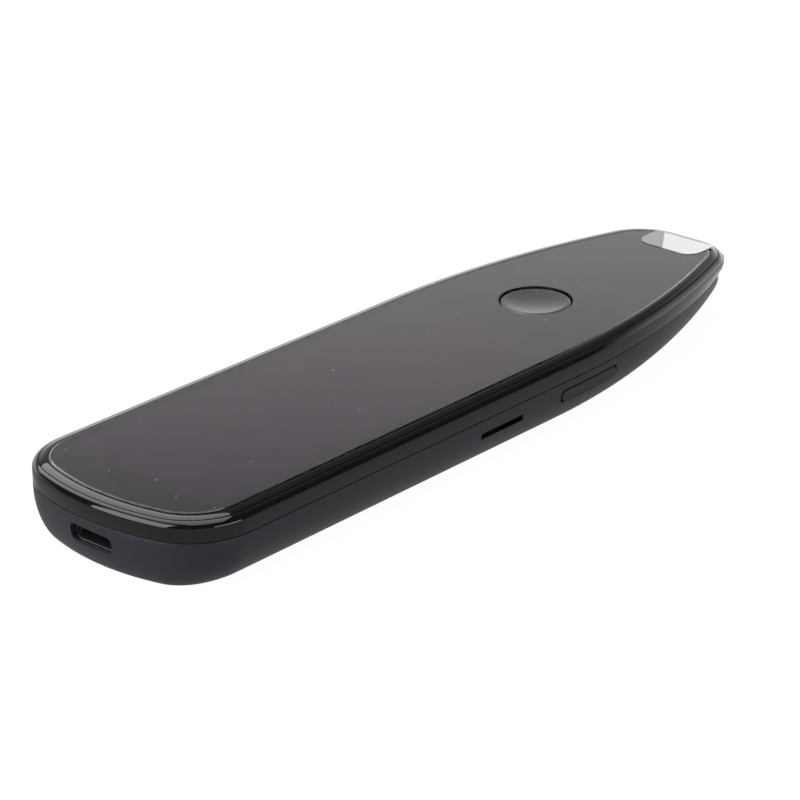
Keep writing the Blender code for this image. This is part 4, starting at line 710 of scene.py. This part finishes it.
# %% [markdown]
# ## Finish of the button
# Moulded polycarbonate again, but from a finer tool: a satin that is greyer than the shell and shows a soft
# image of the backdrop.

# %% Satin polycarbonate
satin_cap = grained("black_polycarbonate_satin", 0.00030, 0.0000012, "#434345", "#474749", (0.21, 0.28),
                    Roughness=0.22, IOR=1.50)

# %% [markdown]
# ## Scan button
# A round cap in a hole of the glass. Its top is a shallow dish, so the light on it turns from the far side to
# the near side. A profile turned round the button's axis makes the dish, the rolled edge and the flange that
# keeps the cap under the glass.

# %% The button as a turned profile
BUTTON_STEPS, ROLL_STEPS, DISH_STEPS = 144, 10, 40


def turned(name, profile, centre, finish):
    """A profile of (radius, height) turned round a vertical axis: x = cos * radius, y = sin * radius."""
    profile = np.asarray(profile, float)
    flat = np.asarray(centre, float) + profile[:, None, :1] * circle(1.0, BUTTON_STEPS)[None]
    height = np.broadcast_to(profile[:, None, 1:], flat.shape[:2] + (1,))
    return piece(name, [(np.concatenate([flat, height], -1), True)], finish)


BUTTON_DISH, BUTTON_RIM_WIDTH, BUTTON_RIM_DROP, FLANGE_WIDTH, FLANGE_THICKNESS = (
    0.0004, 0.0005, 0.0002, 0.0011, 0.0004)
flange_top = glass_foot - SEAT_GAP
profile = [(0, flange_top - FLANGE_THICKNESS), (BUTTON_RADIUS + FLANGE_WIDTH, flange_top - FLANGE_THICKNESS),
           (BUTTON_RADIUS + FLANGE_WIDTH, flange_top), (BUTTON_RADIUS, flange_top)]
roll_in, roll_down = rounding(ROLL_STEPS, BUTTON_RIM_WIDTH, BUTTON_RIM_DROP)
profile += list(zip(BUTTON_RADIUS - roll_in, glass_top - roll_down))
dish = np.linspace(1, 0, DISH_STEPS)[1:]
profile += list(zip((BUTTON_RADIUS - BUTTON_RIM_WIDTH) * dish, glass_top - BUTTON_DISH * (1 - dish ** 2)))
button = turned("round_button", profile, (button_x, 0), satin_cap)
stand_for(button, "scan_button", "scan_button_body")

# %% [markdown]
# ## Side key
# A long capsule in the near wall. Its face follows the wall's slow curve exactly, so only the groove round it
# shows. It is made as rows of capsules: from a line in its middle out to its edge, and then, at the key's own
# size, back through the wall and on by a seat and a flange's thickness.

# %% The key's capsules
KEY_SEAT, KEY_FLANGE_THICKNESS, KEY_EDGE, KEY_LINE, LEAST_CORNER = 0.00045, 0.0007, 0.00015, 0.00002, 0.00001
KEY_FACE_ROWS, KEY_EDGE_ROWS, KEY_STEPS = 6, 6, 14
face = np.linspace(-KEY_WIDTH / 2 + KEY_LINE, -KEY_EDGE, KEY_FACE_ROWS)
edge_out, edge_drop = rounding(KEY_EDGE_ROWS, KEY_EDGE, KEY_EDGE)
steps_out = [*face, *(-edge_out[::-1])]
steps_in = [*([0.0] * len(face)), *edge_drop[::-1]]
steps_out += [0.0, 0.0]
steps_in += [WALL + KEY_SEAT + KEY_FLANGE_THICKNESS / 2, WALL + KEY_SEAT + KEY_FLANGE_THICKNESS]


def key_row(growth, inset):
    """One capsule, grown on all sides, laid on the wall's curve at an inset."""
    corner = max(KEY_WIDTH / 2 + growth, LEAST_CORNER)
    plan = capsule(KEY_LENGTH + 2 * growth, KEY_WIDTH + 2 * growth, corner, KEY_STEPS)
    x = key_x + plan[:, 0]
    return np.stack([x, -side_y(x, inset), key_middle + plan[:, 1]], -1)


key_rows = np.stack([key_row(growth, inset) for growth, inset in zip(steps_out, steps_in)])


def halves(row):
    """A capsule's row folded over its long axis, to close it with strips."""
    return np.stack([row[:len(row) // 2], row[:len(row) // 2 - 1:-1]], 1)


key = piece("long_key", [(key_rows, True), (halves(key_rows[0]), False), (halves(key_rows[-1]), False)],
            matte_polycarbonate)
stand_for(key, "side_key", "side_key_body")

# %% [markdown]
# ## Finishes of the measured pieces that stay
# The port, the scan head and all that is inside keep their measured meshes. Each gets the real part's finish.

# %% Metals
# Stamped stainless steel, of the port, the switches and the shield: pale, with a broken sheen.
stamped_steel = grained("stainless_steel_stamped", 0.00025, 0.0000020, "#B4B4B6", "#C2C2C4", (0.24, 0.38),
                        Metallic=1.0, Roughness=0.30)

# Blackened steel, of the screws: a dull dark metal.
black_steel = grained("steel_blackened", 0.00020, 0.0000020, "#6A6A6C", "#7A7A7C", (0.34, 0.46),
                      Metallic=1.0, Roughness=0.40)

# %% Plastics and foam
# Moulded black nylon, of the scan head, the camera's holder and the plungers: nearly matte.
moulded_black = grained("black_nylon_moulded", 0.00025, 0.0000030, "#161618", "#1B1B1D", (0.38, 0.48),
                        Roughness=0.42, IOR=1.53)

# The same nylon without its black, of the battery's connector: a warm dull white.
ivory_nylon = grained("ivory_nylon_moulded", 0.00025, 0.0000030, "#CDC9BC", "#D3CFC2", Roughness=0.42, IOR=1.53)

# Clear moulded acrylic, of the scan window: it shows what lies behind it.
clear_acrylic, tree, shader = new_finish(
    "clear_acrylic_moulded", Base_Color=linear("#EDF0F1"), Roughness=0.03, IOR=1.49, Transmission_Weight=1.0)
grain(tree, shader, 0.0030, 0.0000010, 1.0)

# Black foam tape: dull, with open pores.
foam_tape = grained("black_foam_tape", 0.00020, 0.0000100, "#1A1A1A", "#222222", Roughness=0.85)

# %% [markdown]
# The mesh in front of the speaker is woven from polyester threads, 0.3 mm apart. Two waves, one across the
# other, are multiplied: where both are high, one thread lies over another. One wave is two threads long.

# %% Woven mesh
WAVE_PERIOD, THREAD_PITCH, THREAD_HEIGHT = 0.314, 0.00030, 0.00002
woven_mesh, tree, shader = new_finish("grey_polyester_mesh_woven", Roughness=0.75)
place = add(tree, "ShaderNodeTexCoord")
waves = [add(tree, "ShaderNodeTexWave", {
    "Vector": place.outputs["Object"], "Scale": WAVE_PERIOD / (2 * THREAD_PITCH)}, bands_direction=way)
    for way in ("X", "Y")]
weave = add(tree, "ShaderNodeMath", {
    0: waves[0].outputs["Fac"], 1: waves[1].outputs["Fac"]}, operation="MULTIPLY")
bump = add(tree, "ShaderNodeBump", {"Height": weave.outputs[0], "Distance": THREAD_HEIGHT})
tree.links.new(bump.outputs["Normal"], shader.inputs["Normal"])
mix = add(tree, "ShaderNodeMix", {
    "Factor": weave.outputs[0], "A": linear("#3A3A3A"), "B": linear("#6B6B6B")}, data_type="RGBA")
tree.links.new(mix.outputs["Result"], shader.inputs["Base Color"])

# %% Electronics
# Green solder mask on glass fibre: a lacquer that is a little uneven over the fibre.
solder_mask = grained("green_solder_mask", 0.00050, 0.0000060, "#1C5A38", "#256B44", Roughness=0.35, IOR=1.52)

# Laminated aluminium foil round the battery: a soft metal sheen, faintly crumpled.
foil_pouch = grained("aluminium_laminate_pouch", 0.0020, 0.0000200, "#ABABAF", "#B9B9BD",
                     Metallic=0.7, Roughness=0.38)

# Polyimide ribbon over copper: amber, with a smooth sheen.
polyimide = grained("amber_polyimide_ribbon", 0.0010, 0.0000040, "#A86A20", "#B97A2C", Roughness=0.32, IOR=1.65)

# Polariser sheet of the screen: smooth and dark grey.
screen_glass = grained("screen_polariser", 0.0040, 0.0000020, "#2E2E32", "#34343A", Roughness=0.18, IOR=1.50)

# Coated lens: polished glass over a dark barrel, so all its colour is the coating's.
coated_lens = grained("coated_lens_glass", 0.0010, 0.0000003, "#1B1E34", "#242846", Roughness=0.02, IOR=1.52)

# Resin with phosphor over a small lamp: yellow while it is off.
phosphor = grained("yellow_phosphor_resin", 0.00020, 0.0000050, "#E6DA8C", "#EFE4A0", Roughness=0.28, IOR=1.50)

# %% Give every measured piece its finish
finish_of_slot = {
    "matte_black_casing": matte_polycarbonate, "gloss_black_frame": polished_abs, "dark_glass": tempered_glass,
    "clear_film": clear_polyester, "white_tab": printed_polyester, "satin_black_cap": satin_cap,
    "black_plastic": moulded_black, "clear_plastic": clear_acrylic, "stamped_steel": stamped_steel,
    "dark_screw_steel": black_steel, "black_tape": foam_tape, "green_board": solder_mask,
    "battery_pouch": foil_pouch, "amber_ribbon": polyimide, "screen_grey": screen_glass,
    "mesh_grey": woven_mesh, "lens_glass": coated_lens, "light_yellow": phosphor, "ivory_plastic": ivory_nylon}
for part in frame["record"]["subparts"]:
    for slot in nodes[part["node"]].material_slots:
        slot.material = finish_of_slot[part["material_slot"]]

# %% [markdown]
# ## Table, backdrop and light
# The photograph has a white ground with no horizon, and hardly a shadow on it. So the camera sees the table
# mostly by its own glow, with a small share of the lit paint mixed in, which leaves the faint shade under the
# pen. The mirrors on the pen see the table as it was in the studio: bright behind the pen, and less than half
# as bright in front of it. The light that falls on matte surfaces comes from real white paint. From below, the
# table is clear, so that the pen's underside can be seen.

# %% The white table
table_finish = bpy.data.materials.new("white_table")
table_finish.use_nodes = True
tree = table_finish.node_tree
tree.nodes.clear()
AWAY = (0.745, 0.667, 0.0)  # level, from the camera into the room
ray = add(tree, "ShaderNodeLightPath")
TABLE_PAINT, SHADE_SHARE, CAMERA_GLOW = 0.80, 0.06, 1.04
paint = add(tree, "ShaderNodeBsdfDiffuse", {"Color": (TABLE_PAINT, TABLE_PAINT, TABLE_PAINT, 1)})
glow = add(tree, "ShaderNodeEmission", {"Strength": CAMERA_GLOW})
seen = add(tree, "ShaderNodeMath", {0: ray.outputs["Is Camera Ray"], 1: 1 - SHADE_SHARE}, operation="MULTIPLY")
plain = add(tree, "ShaderNodeMixShader", {0: seen.outputs[0], 1: paint.outputs[0], 2: glow.outputs[0]})
place = add(tree, "ShaderNodeNewGeometry")
behind = add(tree, "ShaderNodeVectorMath", {0: place.outputs["Position"], 1: AWAY}, operation="DOT_PRODUCT")
FRONT_GLOW, BACK_GLOW, FRONT_END, BACK_START = 0.43, 1.0, 0.02, 0.08
level = add(tree, "ShaderNodeMapRange", {
    "Value": behind.outputs["Value"], "From Min": FRONT_END, "From Max": BACK_START,
    "To Min": FRONT_GLOW, "To Max": BACK_GLOW})
mirrored = add(tree, "ShaderNodeEmission", {"Strength": level.outputs["Result"]})
both = add(tree, "ShaderNodeMixShader", {
    0: ray.outputs["Is Glossy Ray"], 1: plain.outputs[0], 2: mirrored.outputs[0]})
clear = add(tree, "ShaderNodeBsdfTransparent")
choice = add(tree, "ShaderNodeMixShader", {
    0: place.outputs["Backfacing"], 1: both.outputs[0], 2: clear.outputs[0]})
add(tree, "ShaderNodeOutputMaterial", {"Surface": choice.outputs[0]})
TABLE_REACH = 3.0
corners = TABLE_REACH * np.array([(-1, -1, 0), (1, -1, 0), (1, 1, 0), (-1, 1, 0)])
table_mesh = bpy.data.meshes.new("white_table")
table_mesh.from_pydata(corners.tolist(), [], [(0, 1, 2, 3)])
table_mesh.materials.append(table_finish)
table = bpy.data.objects.new("white_table", table_mesh)
bpy.context.scene.collection.objects.link(table)

# %% [markdown]
# The room is what the glass, the frame and the film mirror. Across from the camera hangs the backdrop, which is
# brightest at its foot and fades as it goes up. To the right is a window, whose light runs along the frame near
# the nose. The rest is nearly dark, which keeps the glossy black black. The camera itself sees plain white.

# %% The room as the mirrors see it
world = bpy.data.worlds.new("studio")
bpy.context.scene.world = world
world.use_nodes = True
tree = world.node_tree
tree.nodes.clear()
place = add(tree, "ShaderNodeTexCoord")
upward = add(tree, "ShaderNodeSeparateXYZ", {"Vector": place.outputs["Generated"]})
along = add(tree, "ShaderNodeVectorMath", {0: place.outputs["Generated"], 1: AWAY}, operation="DOT_PRODUCT")
HORIZON_LEVEL, FALL, CEILING_LEVEL, BACKDROP_FROM, BACKDROP_FULL = 1.80, 3.70, 0.10, 0.20, 0.75
fading = add(tree, "ShaderNodeMath", {
    0: upward.outputs["Z"], 1: -FALL, 2: HORIZON_LEVEL}, operation="MULTIPLY_ADD")
height = add(tree, "ShaderNodeMath", {0: fading.outputs[0], 1: CEILING_LEVEL}, operation="MAXIMUM")
side = add(tree, "ShaderNodeMapRange", {
    "Value": along.outputs["Value"], "From Min": BACKDROP_FROM, "From Max": BACKDROP_FULL})
backdrop = add(tree, "ShaderNodeMath", {0: height.outputs[0], 1: side.outputs["Result"]}, operation="MULTIPLY")
ROOM_LEVEL, WINDOW_LEVEL, WINDOW_FROM, WINDOW_FULL = 0.06, 0.85, 0.77, 0.87
window = add(tree, "ShaderNodeMapRange", {
    "Value": upward.outputs["X"], "From Min": WINDOW_FROM, "From Max": WINDOW_FULL, "To Max": WINDOW_LEVEL})
both = add(tree, "ShaderNodeMath", {0: backdrop.outputs[0], 1: window.outputs["Result"]}, operation="ADD")
level = add(tree, "ShaderNodeMath", {0: both.outputs[0], 1: ROOM_LEVEL}, operation="ADD")
ray = add(tree, "ShaderNodeLightPath")
white = add(tree, "ShaderNodeBackground", {"Color": (1, 1, 1, 1), "Strength": 1.0})
room = add(tree, "ShaderNodeBackground", {"Color": (1, 1, 1, 1), "Strength": level.outputs[0]})
choice = add(tree, "ShaderNodeMixShader", {
    0: ray.outputs["Is Camera Ray"], 1: room.outputs[0], 2: white.outputs[0]})
add(tree, "ShaderNodeOutputWorld", {"Surface": choice.outputs[0]})

# %% [markdown]
# Three white lamps light the pen: a large soft box above and a little behind it for the even light, so narrow
# that the glass's near edge doesn't mirror it, and two lower ones to the left and to the right of the tail,
# whose images are the two pale strips on the frame's rear corner.

# %% Lamps
def soft_box(name, place, target, size, power):
    """A rectangular area lamp at a place, turned to a target."""
    data = bpy.data.lights.new(name, "AREA")
    data.shape = "RECTANGLE"
    data.size, data.size_y = size
    data.energy = power
    lamp = bpy.data.objects.new(name, data)
    bpy.context.scene.collection.objects.link(lamp)
    lamp.location = place
    lamp.rotation_mode = "QUATERNION"
    lamp.rotation_quaternion = (Vector(target) - Vector(place)).to_track_quat("-Z", "Y")
    print(name, power, "W")


soft_box("overhead_box", (0.10, 0.30, 1.10), (0, 0, 0), (1.0, 2.4), 16.5)
soft_box("left_box", (-0.847, 0.234, 0.421), (tail_x, 0, BODY_HEIGHT), (0.84, 0.84), 8.9)
soft_box("right_box", (0.010, -0.920, 0.090), (tail_x, -half_width, BODY_HEIGHT), (0.70, 0.16), 1.5)

# %% [markdown]
# ## Camera
# Its place, direction and focal length were worked out from the outline of the pen in the photograph. The
# rotation is given as the three directions that the camera's own axes have in the room.

# %% The camera of the photograph
CAMERA_PLACE = (-0.37462, -0.32992, 0.22138)
RIGHT, UP, FORWARD = (0.6654, -0.7465, -0.0057), (0.3023, 0.2624, 0.9164), (0.6826, 0.6115, -0.4002)
FOCAL_LENGTH, SENSOR = 138.09, 36.0
camera_data = bpy.data.cameras.new("camera")
camera_data.sensor_width, camera_data.lens = SENSOR, FOCAL_LENGTH
camera_data.dof.use_dof = False
camera_data.clip_start, camera_data.clip_end = 0.01, 20.0
camera = bpy.data.objects.new("camera", camera_data)
bpy.context.scene.collection.objects.link(camera)
turn = Matrix((RIGHT, UP, tuple(-v for v in FORWARD))).transposed().to_quaternion().normalized()
camera.rotation_mode = "QUATERNION"
camera.rotation_quaternion = turn
camera.location = CAMERA_PLACE
bpy.context.scene.camera = camera
bpy.context.scene.view_settings.view_transform = "Standard"
